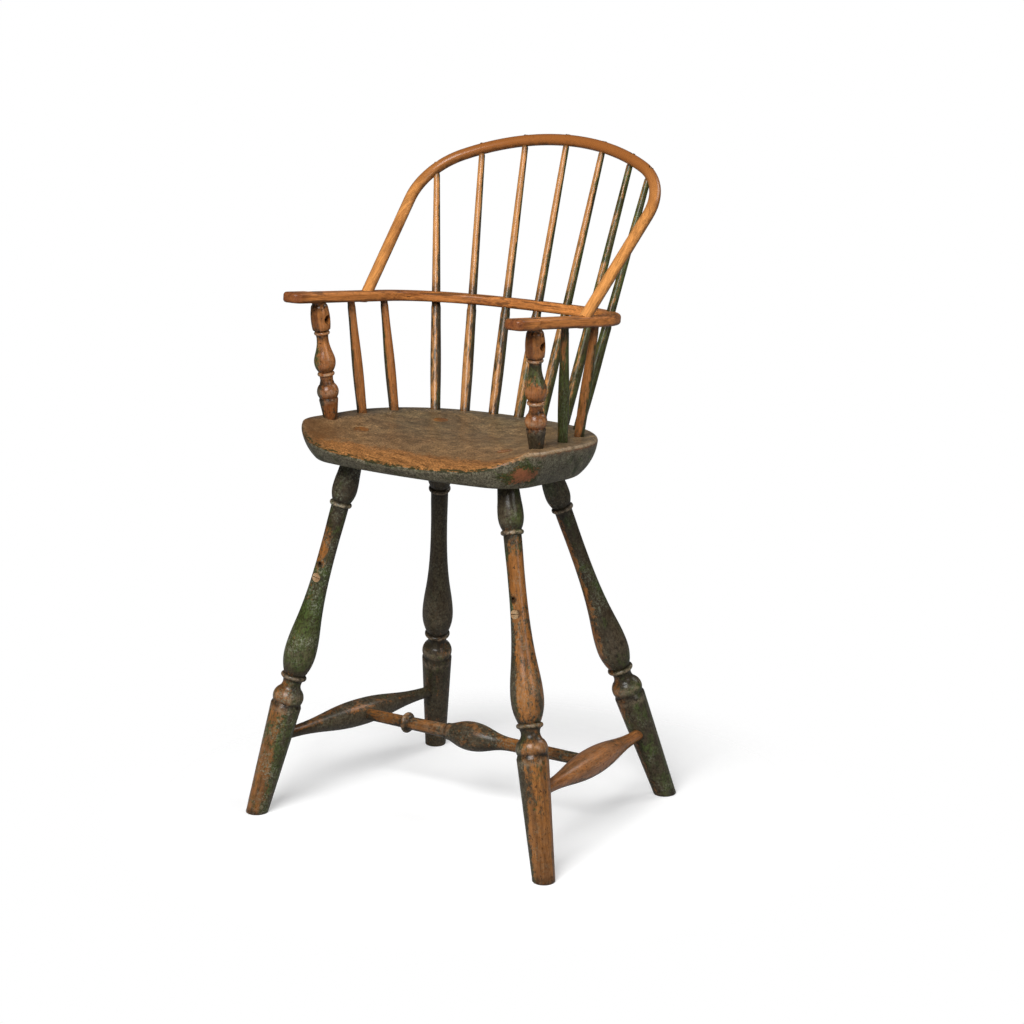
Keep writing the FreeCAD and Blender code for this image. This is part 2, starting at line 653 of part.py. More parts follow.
def dish_section(sketch):
    """Draw the dish across: a flat floor with sides that turn up."""
    half, floor = size("dims.dish_floor_half"), size("dims.dish_floor_r")
    side, wide, top = [size(f"dims.dish_{name}") for name in ("side_r", "half_width", "headroom")]
    lean = math.asin(half / floor)
    edge_y = floor - math.sqrt(floor ** 2 - half ** 2)
    side_x = half - side * math.sin(lean)
    side_y = edge_y + side * math.cos(lean)
    turn = math.asin((wide - side_x) / side)
    wide_y = side_y - side * math.cos(turn)
    down = -math.pi / 2
    shapes = (
        arc((0, floor), floor, down - lean, down + lean),
        arc((side_x, side_y), side, down + lean, down + turn),
        Part.LineSegment(Vector(wide, wide_y, 0), Vector(wide, top, 0)),
        Part.LineSegment(Vector(wide, top, 0), Vector(-wide, top, 0)),
        Part.LineSegment(Vector(-wide, top, 0), Vector(-wide, wide_y, 0)),
        arc((-side_x, side_y), side, down - turn, down - lean),
    )
    ids = [sketch.addGeometry(shape) for shape in shapes]
    base, right_side, right, lid, left, left_side = ids
    for first, second in ((left_side, base), (base, right_side)):
        constrain(sketch, "Tangent", first, 2, second, 1)
    for first, second in ((right_side, right), (right, lid), (lid, left), (left, left_side)):
        joined(sketch, first, 2, second, 1)
    constrain(sketch, "Radius", base, to="dims.dish_floor_r")
    constrain(sketch, "Radius", right_side, to="dims.dish_side_r")
    constrain(sketch, "Equal", right_side, left_side)
    pin(sketch, base, 3, "0", "dims.dish_floor_r")
    pin(sketch, base, 1, "-dims.dish_floor_half")
    pin(sketch, base, 2, "dims.dish_floor_half")
    for line, sign in ((right, ""), (left, "-")):
        pin(sketch, line, 1, f"{sign}dims.dish_half_width")
        constrain(sketch, "Vertical", line)
    pin(sketch, right, 2, None, "dims.dish_headroom")
    constrain(sketch, "Horizontal", lid)


def make_seat(place):
    """Make the seat plank with its dish, still without its holes."""
    body = new_body("seat", place)
    blank = new_sketch(body, "blank", "XY_Plane")
    seat_outline(blank, "dims.seat_blank_room")
    plank = pad(body, blank, "dims.seat_thickness", Reversed=True)
    finish(body, plank)
    outline = new_sketch(body, "outline", "XY_Plane")
    round_seat = seat_outline(outline)
    at_left_side = Placement(Vector(0, 0, -outline.Geometry[round_seat[0]].StartPoint.y), Rotation())
    section = new_sketch(body, "edge_section", "XZ_Plane", at_left_side)
    edge_section(section)
    doc.recompute()
    edge = body.newObject("PartDesign::SubtractivePipe", "seat_edge")
    edge.Profile = section
    edge.Spine = (outline, [f"Edge{number + 1}" for number in round_seat])
    finish(body, edge)
    path = new_sketch(body, "dish_path", "YZ_Plane")
    front_end = dish_path(path)
    at_front_end = Placement(Vector(0, front_end.y, -front_end.x), Rotation())
    section = new_sketch(body, "dish_section", "XZ_Plane", at_front_end)
    dish_section(section)
    doc.recompute()
    dish = body.newObject("PartDesign::SubtractivePipe", "seat_dish")
    dish.Profile = section
    dish.Spine = (path, ["Edge1", "Edge2", "Edge3"])
    dish.Mode = "Fixed"
    finish(body, dish)
    underside = 0.01 - size("dims.seat_thickness")

    def is_side(face):
        return face.BoundBox.ZMin < underside < face.BoundBox.ZMax

    def upper_arris(edge):
        faces = body.Tip.Shape.ancestorsOfType(edge, Part.Face)
        return edge.BoundBox.ZMax > underside and sum(is_side(face) for face in faces) == 1

    fillet(body, "dims.seat_upper_round", upper_arris)
    fillet(body, "dims.seat_lower_round", lambda edge: edge.BoundBox.ZMax < underside)
    return body


def leg_ends(name, sign):
    """Return the floor and rim plane points of a leg's axis."""
    foot_x, foot_y = size(f"dims.{name}_foot_x"), size(f"dims.{name}_foot_y")
    top_x, top_y = size(f"dims.{name}_top_x"), size(f"dims.{name}_top_y")
    return Vector(sign * foot_x, foot_y, 0), on_plane(rim_plane, sign * top_x, top_y)


def exit_plane(axis, solid):
    """Return the plane of the surface where an axis leaves a solid, facing outward."""
    reach = moved(axis, size("dims.leg_end_at + dims.hole_lead")).Base
    inside = solid.common(Part.LineSegment(axis.Base, reach).toShape())
    point = max((vertex.Point for vertex in inside.Vertexes), key=axis.Base.distanceToPoint)
    face = min(solid.Faces, key=lambda item: item.distToShape(Part.Vertex(point))[0])
    normal = face.normalAt(*face.Surface.parameter(point))
    return Placement(point, Rotation(Vector(0, 0, 1), normal))


def wedge_place(surface, axis):
    """Return a wedge's frame: its head in the surface, Y into the tenon, X across the lean."""
    inward = axis.Rotation.multVec(Vector(0, 0, -1))
    normal = surface.Rotation.multVec(Vector(0, 0, 1))
    across = inward.cross(normal)
    if across.Length < 0.02:
        across = inward.cross(Vector(0, 1, 0))
    across.normalize()
    rotation = Rotation(across, inward, across.cross(inward), "XYZ")
    return Placement(surface.Base + inward * size("dims.wedge_recess"), rotation)


def wedge_sizes(kind, gap="0", lead="0"):
    """Return the bound sizes of a wedge; its kerf is grown by a gap and runs on past the head."""
    width, length, head = [f"dims.{kind}_wedge_{name}" for name in ("width", "length", "head")]
    slope = f"({head} - dims.wedge_tip) / (2 * {length})"
    side = f"{width} / 2 + {gap}"
    mouth = f"{head} / 2 + {slope} * {lead} + {gap}"
    tip = f"dims.wedge_tip / 2 + {gap}"
    return {
        "Xmin": f"-({side})", "Xmax": side, "X2min": f"-({side})", "X2max": side,
        "Zmin": f"-({mouth})", "Zmax": mouth, "Z2min": f"-({tip})", "Z2max": tip,
        "Ymin": f"-({lead})", "Ymax": f"{length} + {gap}",
    }


def wedged(body, kind, number, surface, axis):
    """Cut the kerf of a wedge in a tenon and return the wedge that fills it."""
    place = wedge_place(surface, axis)
    kerf = wedge_sizes(kind, "dims.wedge_gap", "dims.hole_lead")
    primitive(body, "SubtractiveWedge", f"kerf_{number}", place, **kerf)
    wedge = doc.addObject("Part::Wedge", f"{kind}_wedge_{number}")
    wedge.Placement = place
    for name, expression in wedge_sizes(kind).items():
        wedge.setExpression(name, expression)
    return wedge


def group(label, members):
    """Gather like pieces under one node."""
    compound = doc.addObject("Part::Compound", label)
    compound.Label = label
    compound.Links = members
    doc.recompute()
    return compound


def on_floor(body):
    """Return the test for edges of a body that lie in the floor."""
    def test(edge):
        return all(abs(body.Placement.multVec(point).z) < 1e-4 for point in edge.discretize(5))
    return test


def at_height(axis, height):
    """Return the point of an axis at a height above the floor."""
    direction = axis.Rotation.multVec(Vector(0, 0, 1))
    return axis.Base + direction * ((height - axis.Base.z) / direction.z)


def bore_for(body, name, place, end):
    """Drill the blind hole of a straight tenon whose end station lies beyond a place."""
    reach = size(f"abs(dims.{end}_at)")
    length = f"dims.leg_vase_r + dims.hole_lead + abs(dims.{end}_at)"
    start = moved(place, reach - size(length))
    return bore(body, name, start, f"dims.{end}_r + dims.glue_gap", length)


def footrest_remains(leg, axis, side):
    """Cut the peg hole and the nail hole of the lost footrest and return the peg."""
    up = axis.Rotation.multVec(Vector(0, 0, 1))
    forward = Vector(0, -1, 0) + up * up.y
    forward.normalize()
    rotation = Rotation(up.cross(forward), up, forward, "ZXY")
    inner_end = size("dims.footrest_peg_face - dims.footrest_peg_length")
    hole = Placement(moved(axis, size("dims.footrest_peg_at")).Base + forward * inner_end, rotation)
    radius = "dims.footrest_peg_r"
    length = "dims.footrest_peg_length"
    bore(leg, "peg_hole", hole, f"{radius} + dims.glue_gap", f"{length} + dims.hole_lead")
    nail_end = size("dims.leg_neck_r - dims.footrest_nail_depth")
    nail = Placement(moved(axis, size("dims.footrest_nail_at")).Base + forward * nail_end, rotation)
    depth = "dims.footrest_nail_depth + dims.hole_lead"
    bore(leg, "nail_hole", nail, "dims.footrest_nail_r", depth)
    peg = doc.addObject("Part::Cylinder", f"footrest_dowel_{side}")
    peg.Placement = hole
    peg.setExpression("Radius", radius)
    peg.setExpression("Height", length)
    split = doc.addObject("Part::Box", f"footrest_split_{side}")
    corner = Vector(
        -size(f"2 * {radius}"),
        -size("dims.footrest_split / 2"),
        size(f"{length} - dims.footrest_split_depth"),
    )
    split.Placement = hole * Placement(corner, Rotation())
    split.setExpression("Length", f"4 * {radius}")
    split.setExpression("Width", "dims.footrest_split")
    split.setExpression("Height", "dims.footrest_split_depth + dims.hole_lead")
    cut = doc.addObject("Part::Cut", f"footrest_peg_{side}")
    cut.Base = peg
    cut.Tool = split
    return cut


def make_arm_rail(place):
    """Make the bent arm rail with the flats for the hand blocks, still without its holes."""
    body = new_body("arm_rail", place)
    plan = new_sketch(body, "plan", "XY_Plane")
    edges = []
    for half in ("+ dims.arm_width / 2", "- dims.arm_width / 2"):
        ids, _ = bent_line(
            plan, f"dims.arm_half_width {half}", f"dims.arm_half_width {half}",
            f"dims.arm_corner_r {half}", f"dims.arm_back_r {half}", f"dims.arm_length {half}",
        )
        edges.append(ids)
    outer, inner = edges
    for end, sign in ((0, 1), (-1, -1)):
        point = 1 if end == 0 else 2
        reach = [sign * size(f"dims.arm_half_width {half}") for half in
                 ("+ dims.arm_width / 2", "- dims.arm_width / 2")]
        tip = plan.addGeometry(Part.LineSegment(Vector(reach[0], 0, 0), Vector(reach[1], 0, 0)))
        joined(plan, tip, 1, outer[end], point)
        joined(plan, tip, 2, inner[end], point)
    finish(body, pad(body, plan, "dims.arm_thickness", SideType="Symmetric"))
    inner_x = size("dims.arm_half_width - dims.arm_width / 2")
    half = size("dims.arm_thickness / 2")

    def inner_tip(edge):
        box = edge.BoundBox
        return box.ZLength > half and box.YMax < 1e-4 and abs(abs(box.XMin) - inner_x) < 1e-4

    fillet(body, "dims.arm_tip_round", inner_tip)
    fillet(body, "dims.arm_round", lambda edge: edge.BoundBox.ZLength < 1e-6)
    glue_face = size("dims.arm_half_width + dims.arm_width / 2 - dims.hand_rebate")
    depth = size("dims.hand_rebate + dims.hole_lead")
    for side, sign in SIDES:
        corner = Vector(min(sign * glue_face, sign * (glue_face + depth)), -size("dims.hole_lead"),
                        -size("dims.arm_thickness"))
        primitive(
            body, "SubtractiveBox", f"{side}_flat", place * Placement(corner, Rotation()),
            Length="dims.hand_rebate + dims.hole_lead", Width="dims.hand_length + dims.hole_lead",
            Height="2 * dims.arm_thickness",
        )
    return body


def make_hand_block(place, side, sign):
    """Make the block that widens an arm into a hand."""
    body = new_body(f"hand_block_{side}", place)
    plan = new_sketch(body, "plan", "XY_Plane")
    inner = "(dims.arm_half_width + dims.arm_width / 2 - dims.hand_rebate + dims.glue_gap)"
    outer = f"({inner} + dims.hand_width)"
    back = "dims.hand_length - dims.glue_gap"
    corners = [(f"{sign} * {x}", y) for x, y in ((inner, "0"), (outer, "0"), (outer, back), (inner, back))]
    points = [Vector(size(x), size(y), 0) for x, y in corners]
    sides = [plan.addGeometry(Part.LineSegment(start, end))
             for start, end in zip(points, points[1:] + points[:1])]
    for line, following, (x, y) in zip(sides, sides[1:] + sides[:1], corners):
        pin(plan, line, 1, x, y)
        joined(plan, line, 2, following, 1)
    finish(body, pad(body, plan, "dims.arm_thickness", SideType="Symmetric"))
    outer_x, half = size(outer), size("dims.arm_thickness / 2")

    def outer_corner(at_front):
        def test(edge):
            box = edge.BoundBox
            outside = box.ZLength > half and abs(abs(box.XMin) - outer_x) < 1e-4
            return outside and (box.YMax < 1e-4) == at_front
        return test

    fillet(body, "dims.hand_front_round", outer_corner(True))
    fillet(body, "dims.hand_rear_round", outer_corner(False))
    inner_x = size(inner)

    def long_edge(edge):
        box = edge.BoundBox
        return box.ZLength < 1e-6 and max(abs(box.XMin), abs(box.XMax)) > inner_x + 1e-4

    fillet(body, "dims.arm_round", long_edge)
    return body


def bar_bore(post, axis):
    """Drill the retaining bar's bore straight across an arm post."""
    centre = moved(axis, size("dims.bar_bore_at")).Base
    start = centre - level_x * size("dims.post_block_r + dims.hole_lead")
    length = "2 * (dims.post_block_r + dims.hole_lead)"
    bore(post, "bar_bore", along(start, centre), "dims.bar_bore_r", length)


def tenon_end_plane():
    """Return the plane that the bow's tenons end at, under the arm rail."""
    return moved(arm_under, -size("dims.bow_tenon_proud"))


def make_bow(place):
    """Make the bow with its tenons; return it and the axes of its feet, pointing down."""
    body = new_body("bow", place)
    path = new_sketch(body, "path", "XY_Plane")
    ids, tangents = bent_line(
        path, "dims.bow_foot_x", "dims.bow_half_width", "dims.bow_corner_r", "dims.bow_top_r",
        "dims.bow_length", "dims.bow_set",
    )
    section = new_sketch(body, "section", "XZ_Plane")
    foot = Vector(size("dims.bow_foot_x"), 0, 0)
    circle = section.addGeometry(Part.Circle(foot, Vector(0, 0, 1), size("dims.bow_r")))
    constrain(section, "Radius", circle, to="dims.bow_r")
    pin(section, circle, 3, "dims.bow_foot_x", "0")
    doc.recompute()
    bend = body.newObject("PartDesign::AdditivePipe", "bow_bend")
    bend.Profile = section
    bend.Spine = (path, [f"Edge{number}" for number in range(1, len(ids) + 1)])
    finish(body, bend)
    trim(body, "shoulders", flipped(arm_top))
    feet = []
    for sign, high in zip((-1, 1), reversed(tangents)):
        low = Vector(sign * foot.x, 0, 0)
        axis = along(place.multVec(low), place.multVec(low * 2 - high))
        root = moved(axis, -size("dims.bow_tenon_root"))
        primitive(body, "AdditiveCylinder", "tenon", root, Radius="dims.bow_tenon_r",
                  Height="dims.bow_tenon_length")
        feet.append(axis)
    trim(body, "tenon_ends", flipped(tenon_end_plane()))
    return body, feet


def bow_point(x):
    """Return the point of the bow's centre line at a distance from the middle of its top."""
    corner, top = size("dims.bow_corner_r"), size("dims.bow_top_r")
    corner_x = size("dims.bow_half_width") - corner
    top_y = size("dims.bow_length") - top
    corner_y = top_y + math.sqrt((top - corner) ** 2 - corner_x ** 2)
    if abs(x) < top * corner_x / (top - corner):
        y = top_y + math.sqrt(top ** 2 - x ** 2)
    else:
        y = corner_y + math.sqrt(corner ** 2 - (abs(x) - corner_x) ** 2)
    return bow_plane.multVec(Vector(x + size("dims.bow_set"), y, 0))


fill_sheet()
SIDES = (("left", -1), ("right", 1))

# Reference planes: the seat's rim, the arm rail's mid-plane and faces, and the bow's plane
level_x = Vector(1, 0, 0)
rim_plane = Placement(
    Vector(0, 0, size("dims.seat_height")), turned_by(level_x, "-dims.seat_tilt")
)
arm_plane = Placement(
    Vector(0, size("dims.arm_tip_y"), size("dims.arm_height")), turned_by(level_x, "-dims.arm_tilt")
)
arm_top = moved(arm_plane, size("dims.arm_thickness / 2"))
arm_under = moved(arm_plane, -size("dims.arm_thickness / 2"))
bow_plane = Placement(
    on_plane(arm_plane, 0, size("dims.bow_foot_y")),
    turned_by(level_x, "dims.bow_rake") * turned_by(Vector(0, 0, 1), "dims.bow_lean"),
)

# Seat
seat = make_seat(rim_plane)
seat_blank = seat.Shape.copy()

# Legs, through the seat and wedged there, with what is left of the footrest at the front
legs = {}
leg_wedges = []
footrest_pegs = []
for name in ("front", "rear"):
    for side, sign in SIDES:
        foot, top = leg_ends(name, sign)
        axis = along(foot, top)
        leg = turned(f"leg_{name}_{side}", "leg", axis)
        trim(leg, "floor", flipped(Placement(foot, Rotation())))
        fillet(leg, "dims.foot_round", on_floor(leg))
        surface = exit_plane(axis, seat_blank)
        trim(leg, "flush", surface)
        leg_wedges.append(wedged(leg, "leg", len(leg_wedges) + 1, surface, axis))
        taper_hole(seat, f"{leg.Name}_hole", axis, "leg_end", "leg_tenon")
        legs[name, side] = leg
        if name == "front":
            footrest_pegs.append(footrest_remains(leg, axis, side))
footrest_pegs = group("footrest_pegs", footrest_pegs)
leg_wedges = group("leg_wedges", leg_wedges)

# Stretchers: one along each side, one across between their swells
middles = []
side_stretchers = []
for side, sign in SIDES:
    front, rear = legs["front", side], legs["rear", side]
    start = at_height(front.Placement, size("dims.stretcher_front_z"))
    end = at_height(rear.Placement, size("dims.stretcher_rear_z"))
    axis = along(start, end)
    span = start.distanceToPoint(end)
    anchors = {"middle": span / 2, "far_end": span}
    side_stretchers.append(turned(f"side_stretcher_{side}", "side_stretcher", axis, anchors))
    middles.append(moved(axis, span / 2).Base)
    bore_for(front, "stretcher_hole", flipped(axis), "side_stretcher_front_end")
    bore_for(rear, "stretcher_hole", moved(axis, span), "side_stretcher_rear_end")
axis = along(*middles)
span = middles[0].distanceToPoint(middles[1])
anchors = {"middle": span / 2, "far_end": span}
medial_stretcher = turned("medial_stretcher", "medial_stretcher", axis, anchors)
bore_for(side_stretchers[0], "medial_hole", flipped(axis), "medial_stretcher_left_end")
bore_for(side_stretchers[1], "medial_hole", moved(axis, span), "medial_stretcher_right_end")

# Arm rail and the hand blocks glued to it
arm_rail = make_arm_rail(arm_plane)
hand_blocks = [make_hand_block(arm_plane, side, sign) for side, sign in SIDES]

# Arm posts, through the arm rail and wedged there, each with a bore for the retaining bar
arm_posts = []
post_wedges = []
for side, sign in SIDES:
    foot = on_plane(rim_plane, sign * size("dims.post_foot_x"), size("dims.post_foot_y"))
    top = on_plane(arm_under, sign * size("dims.post_top_x"), size("dims.post_top_y"))
    axis = along(foot, top)
    post = turned(f"arm_post_{side}", "post", axis, {"arm": foot.distanceToPoint(top)})
    trim(post, "shoulder", arm_under)
    tenon = moved(axis, foot.distanceToPoint(top) - size("dims.hole_lead"))
    length = "dims.arm_thickness + 3 * dims.hole_lead"
    primitive(post, "AdditiveCylinder", "tenon", tenon, Radius="dims.post_upper_tenon_r", Height=length)
    trim(post, "flush", arm_top)
    bore(arm_rail, f"{post.Name}_hole", tenon, "dims.post_upper_tenon_r + dims.glue_gap", length)
    surface = Placement(moved(axis, distance_to(axis, arm_top)).Base, arm_top.Rotation)
    post_wedges.append(wedged(post, "post", len(post_wedges) + 1, surface, axis))
    taper_hole(seat, f"{post.Name}_hole", axis, "post_tenon", "post_foot")
    bar_bore(post, axis)
    arm_posts.append(post)
post_wedges = group("arm_post_wedges", post_wedges)

# Bow, its feet through the arm rail and wedged from below
bow, bow_feet = make_bow(bow_plane)
bow_wedges = []
for (side, sign), foot in zip(SIDES, bow_feet):
    end = moved(foot, distance_to(foot, tenon_end_plane())).Base
    surface = Placement(end, flipped(arm_under).Rotation)
    bow_wedges.append(wedged(bow, "bow", len(bow_wedges) + 1, surface, foot))
    start = moved(foot, -size("dims.bow_tenon_root"))
    length = "dims.bow_tenon_length + dims.hole_lead"
    bore(arm_rail, f"bow_{side}_hole", start, "dims.bow_tenon_r + dims.glue_gap", length)
bow_wedges = group("bow_wedges", bow_wedges)

# Long spindles from left to right, through the arm rail and the bow and wedged on top
LONG_SPINDLES = (
    ("outer", -1), ("middle", -1), ("inner", -1), ("centre", 0), ("inner", 1), ("middle", 1), ("outer", 1),
)
long_spindles = []
spindle_wedges = []
for number, (name, sign) in enumerate(LONG_SPINDLES, start=1):
    foot_x = sign * size(f"dims.{name}_foot_x") if sign else 0.0
    foot = on_plane(rim_plane, foot_x, size(f"dims.{name}_foot_y"))
    top = bow_point(size(f"dims.spindle_{number}_top_x"))
    axis = along(foot, top)
    anchors = {"arm": distance_to(axis, arm_plane), "bow": foot.distanceToPoint(top)}
    spindle = turned(f"long_spindle_{number}", "long_spindle", axis, anchors)
    taper_hole(seat, f"{spindle.Name}_hole", axis, "long_spindle_tenon", "long_spindle_foot")
    through_arm = moved(axis, anchors["arm"] - size("dims.arm_thickness"))
    arm_hole = "dims.long_spindle_arm_in_r + dims.glue_gap"
    bore(arm_rail, f"{spindle.Name}_hole", through_arm, arm_hole, "2 * dims.arm_thickness")
    through_bow = moved(axis, anchors["bow"] - size("2 * dims.bow_r"))
    bow_hole = "dims.long_spindle_neck_r + dims.glue_gap"
    bore(bow, f"{spindle.Name}_hole", through_bow, bow_hole, "4 * dims.bow_r")
    surface = moved(axis, anchors["bow"] + size("dims.bow_r"))
    spindle_wedges.append(wedged(spindle, "spindle", number, surface, axis))
    long_spindles.append(spindle)
spindle_wedges = group("spindle_wedges", spindle_wedges)

# Short spindles between the seat and the arms
short_spindles = []
for name in ("front", "rear"):
    for side, sign in SIDES:
        places = [size(f"dims.{name}_short_{place}") for place in ("foot_x", "foot_y", "top_x", "top_y")]
        foot = on_plane(rim_plane, sign * places[0], places[1])
        top = on_plane(arm_under, sign * places[2], places[3])
        axis = along(foot, top)
        length = foot.distanceToPoint(top)
        spindle = turned(f"short_spindle_{name}_{side}", "short_spindle", axis, {"arm": length})
        taper_hole(seat, f"{spindle.Name}_hole", axis, "short_spindle_tenon", "short_spindle_foot")
        blind = moved(axis, length + size("dims.short_spindle_neck_at"))
        depth = "dims.short_spindle_end_at - dims.short_spindle_neck_at + dims.glue_gap"
        arm_hole = "dims.short_spindle_end_r + dims.glue_gap"
        bore(arm_rail, f"{spindle.Name}_hole", blind, arm_hole, depth)
        short_spindles.append(spindle)

# Checks and export
NODES = (
    seat, *legs.values(), leg_wedges, footrest_pegs, *side_stretchers, medial_stretcher, arm_rail,
    *hand_blocks, *arm_posts, post_wedges, bow, bow_wedges, *long_spindles, spindle_wedges,
    *short_spindles,
)
doc.recompute()
for item in doc.Objects:
    if "Invalid" in item.State or "Error" in item.State:
        raise RuntimeError(f"{item.Name} is not sound: {item.State}")
os.makedirs("parts", exist_ok=True)
for node in NODES:
    if node.Shape.isNull() or not node.Shape.isValid():
        raise RuntimeError(f"{node.Label} has no valid shape")
    node.Shape.exportStep(f"parts/{node.Label}.step")
    print(node.Label, len(node.Shape.Solids), "solids,", round(node.Shape.Volume), "mm3")
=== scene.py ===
import bpy
import numpy as np
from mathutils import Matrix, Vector

bl_info = {
    "name": "Windsor High Chair Finishes",
    "version": (1, 0, 0),
    "blender": (4, 5, 0),
    "location": "View3D > Sidebar > High Chair",
    "description": "Dresses the high chair's wooden pieces in worn paint and bare wood and sets the stage",
    "category": "Object",
}

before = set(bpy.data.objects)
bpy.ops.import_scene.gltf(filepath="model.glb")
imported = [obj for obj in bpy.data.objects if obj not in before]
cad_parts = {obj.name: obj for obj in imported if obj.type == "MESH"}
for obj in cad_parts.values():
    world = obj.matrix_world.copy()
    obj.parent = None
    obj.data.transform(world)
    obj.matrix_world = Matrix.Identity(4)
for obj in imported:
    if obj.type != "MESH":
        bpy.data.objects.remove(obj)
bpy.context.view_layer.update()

SIDES = ("left", "right")
LEGS = tuple(f"leg_{end}_{side}" for end in ("front", "rear") for side in SIDES)
LONG_SPINDLES = tuple(f"long_spindle_{number}" for number in range(1, 8))
END_GRAIN = ("leg_wedges", "arm_post_wedges", "bow_wedges", "spindle_wedges", "footrest_pegs")
VALUE, VECTOR, COLOUR = "NodeSocketFloat", "NodeSocketVector", "NodeSocketColor"
WHITE = (1.0, 1.0, 1.0, 1.0)
# The Mix node's colour sockets
MIX_FIRST, MIX_SECOND, MIX_RESULT = 6, 7, 2
# The chair's own directions: up, to its back and across to its right
UP, BACK, ACROSS = (0, 0, 1), (0, 1, 0), (1, 0, 0)
# Level directions to the right and to the left of someone who stands at the camera
RIGHTWARD, LEFTWARD = (0.83, 0.55, 0.0), (-0.83, -0.55, 0.0)


def colour_property(name, description, default):
    """Return a colour property in scene linear values."""
    return bpy.props.FloatVectorProperty(
        name=name, description=description, default=default, subtype="COLOR", size=3, min=0.0, max=1.0,
    )


def length_property(name, description, default):
    """Return a length property in metres."""
    return bpy.props.FloatProperty(
        name=name, description=description, default=default, unit="LENGTH", min=0.0,
    )


class HIGHCHAIR_PG_finish(bpy.types.PropertyGroup):
    """Colours and small sizes of the chair's finishes."""

    honey: colour_property("Honey wood", "Worn bare wood of the bow", (0.66, 0.285, 0.080))
    amber: colour_property("Amber wood", "Deeper streaks in the bow and spindles", (0.28, 0.095, 0.022))
    auburn: colour_property("Auburn wood", "Bare wood of the arms", (0.64, 0.240, 0.062))
    mahogany: colour_property("Dark auburn", "Deeper streaks in the arms and posts", (0.16, 0.046, 0.012))
    handled: colour_property("Handled wood", "Darkened ends of the arms", (0.115, 0.032, 0.012))
    straw: colour_property("Straw wood", "Bare wood of the spindles", (0.56, 0.255, 0.080))
    russet: colour_property("Russet wood", "Bare wood of legs and stretchers", (0.33, 0.126, 0.028))
    umber: colour_property("Umber wood", "Darker streaks in the russet wood", (0.105, 0.042, 0.013))
    chestnut: colour_property("Chestnut wood", "Wood of posts and short spindles", (0.42, 0.160, 0.045))
    seat_brown: colour_property("Seat brown", "Rubbed brown of the dished seat", (0.235, 0.150, 0.076))
    seat_shade: colour_property("Seat shade", "Darker clouds in the dished seat", (0.140, 0.094, 0.048))
    seat_cloud: colour_property("Seat clouds", "Olive brown clouds in the dish", (0.185, 0.135, 0.070))
    seat_deck: colour_property("Seat deck", "Grey brown band round the dish", (0.150, 0.116, 0.076))
    seat_scratch: colour_property("Seat scratches", "Pale scratches in the dish", (0.42, 0.27, 0.125))
    seat_warm: colour_property("Seat warmth", "Warmer brown towards the front", (0.26, 0.135, 0.055))
    seat_lip: colour_property("Seat lip", "Bare wood on the front roll", (0.41, 0.180, 0.056))
    seat_fleck: colour_property("Lip flecks", "Dark flecks along the front lip", (0.020, 0.026, 0.010))
    seat_patch: colour_property("Seat patch", "Bare patch at the right corner", (0.30, 0.105, 0.045))
    seat_red: colour_property("Seat edge", "Red line under the worn edge", (0.26, 0.085, 0.035))
    olive: colour_property("Old dark paint", "Dark olive paint on the turned pieces", (0.033, 0.029, 0.017))
    slate: colour_property("Seat paint", "Grey-olive paint on the edge of the seat", (0.135, 0.126, 0.086))
    green: colour_property("Green paint", "Green coat under the dark one", (0.030, 0.050, 0.011))
    # The grime colour also serves as painted shade on the bent pieces' turned-away faces
    grime: colour_property("Grime", "Dirt in grooves and joints", (0.013, 0.009, 0.005))
    scuff: colour_property("Pale scuffs", "Blue-grey ground showing at knocks", (0.21, 0.225, 0.155))
    # The rubbed colour also makes a painted highlight along the seat's side arris
    rub: colour_property("Rubbed crests", "Pale wear on rings and edges", (0.40, 0.30, 0.20))
    tan: colour_property("End grain", "Sawn ends of pegs and wedges", (0.40, 0.27, 0.15))
    relief: length_property("Relief", "Depth of grain and paint edges", 0.00028)


class HIGHCHAIR_PG_stage(bpy.types.PropertyGroup):
    """Camera, light and floor."""

    eye: bpy.props.FloatVectorProperty(
        name="Camera", description="Where the camera stands", default=(2.23403, -3.30197, 1.45365),
        subtype="TRANSLATION", unit="LENGTH",
    )
    target: bpy.props.FloatVectorProperty(
        name="Target", description="What the camera looks at", default=(0.0, 0.081, 0.414),
        subtype="TRANSLATION", unit="LENGTH",
    )
    lens: bpy.props.FloatProperty(
        name="Lens", description="Focal length in millimetres on a 36 mm sensor", default=102.97, min=10.0,
    )
    key: bpy.props.FloatProperty(
        name="Key light", description="Power of the large light at the front", default=150.0, unit="POWER",
    )
    fill: bpy.props.FloatProperty(
        name="Sky light", description="Strength of the even light all round", default=0.10, min=0.0,
    )
    floor_reach: length_property("Floor reach", "How far out the floor fades into the backdrop", 0.56)


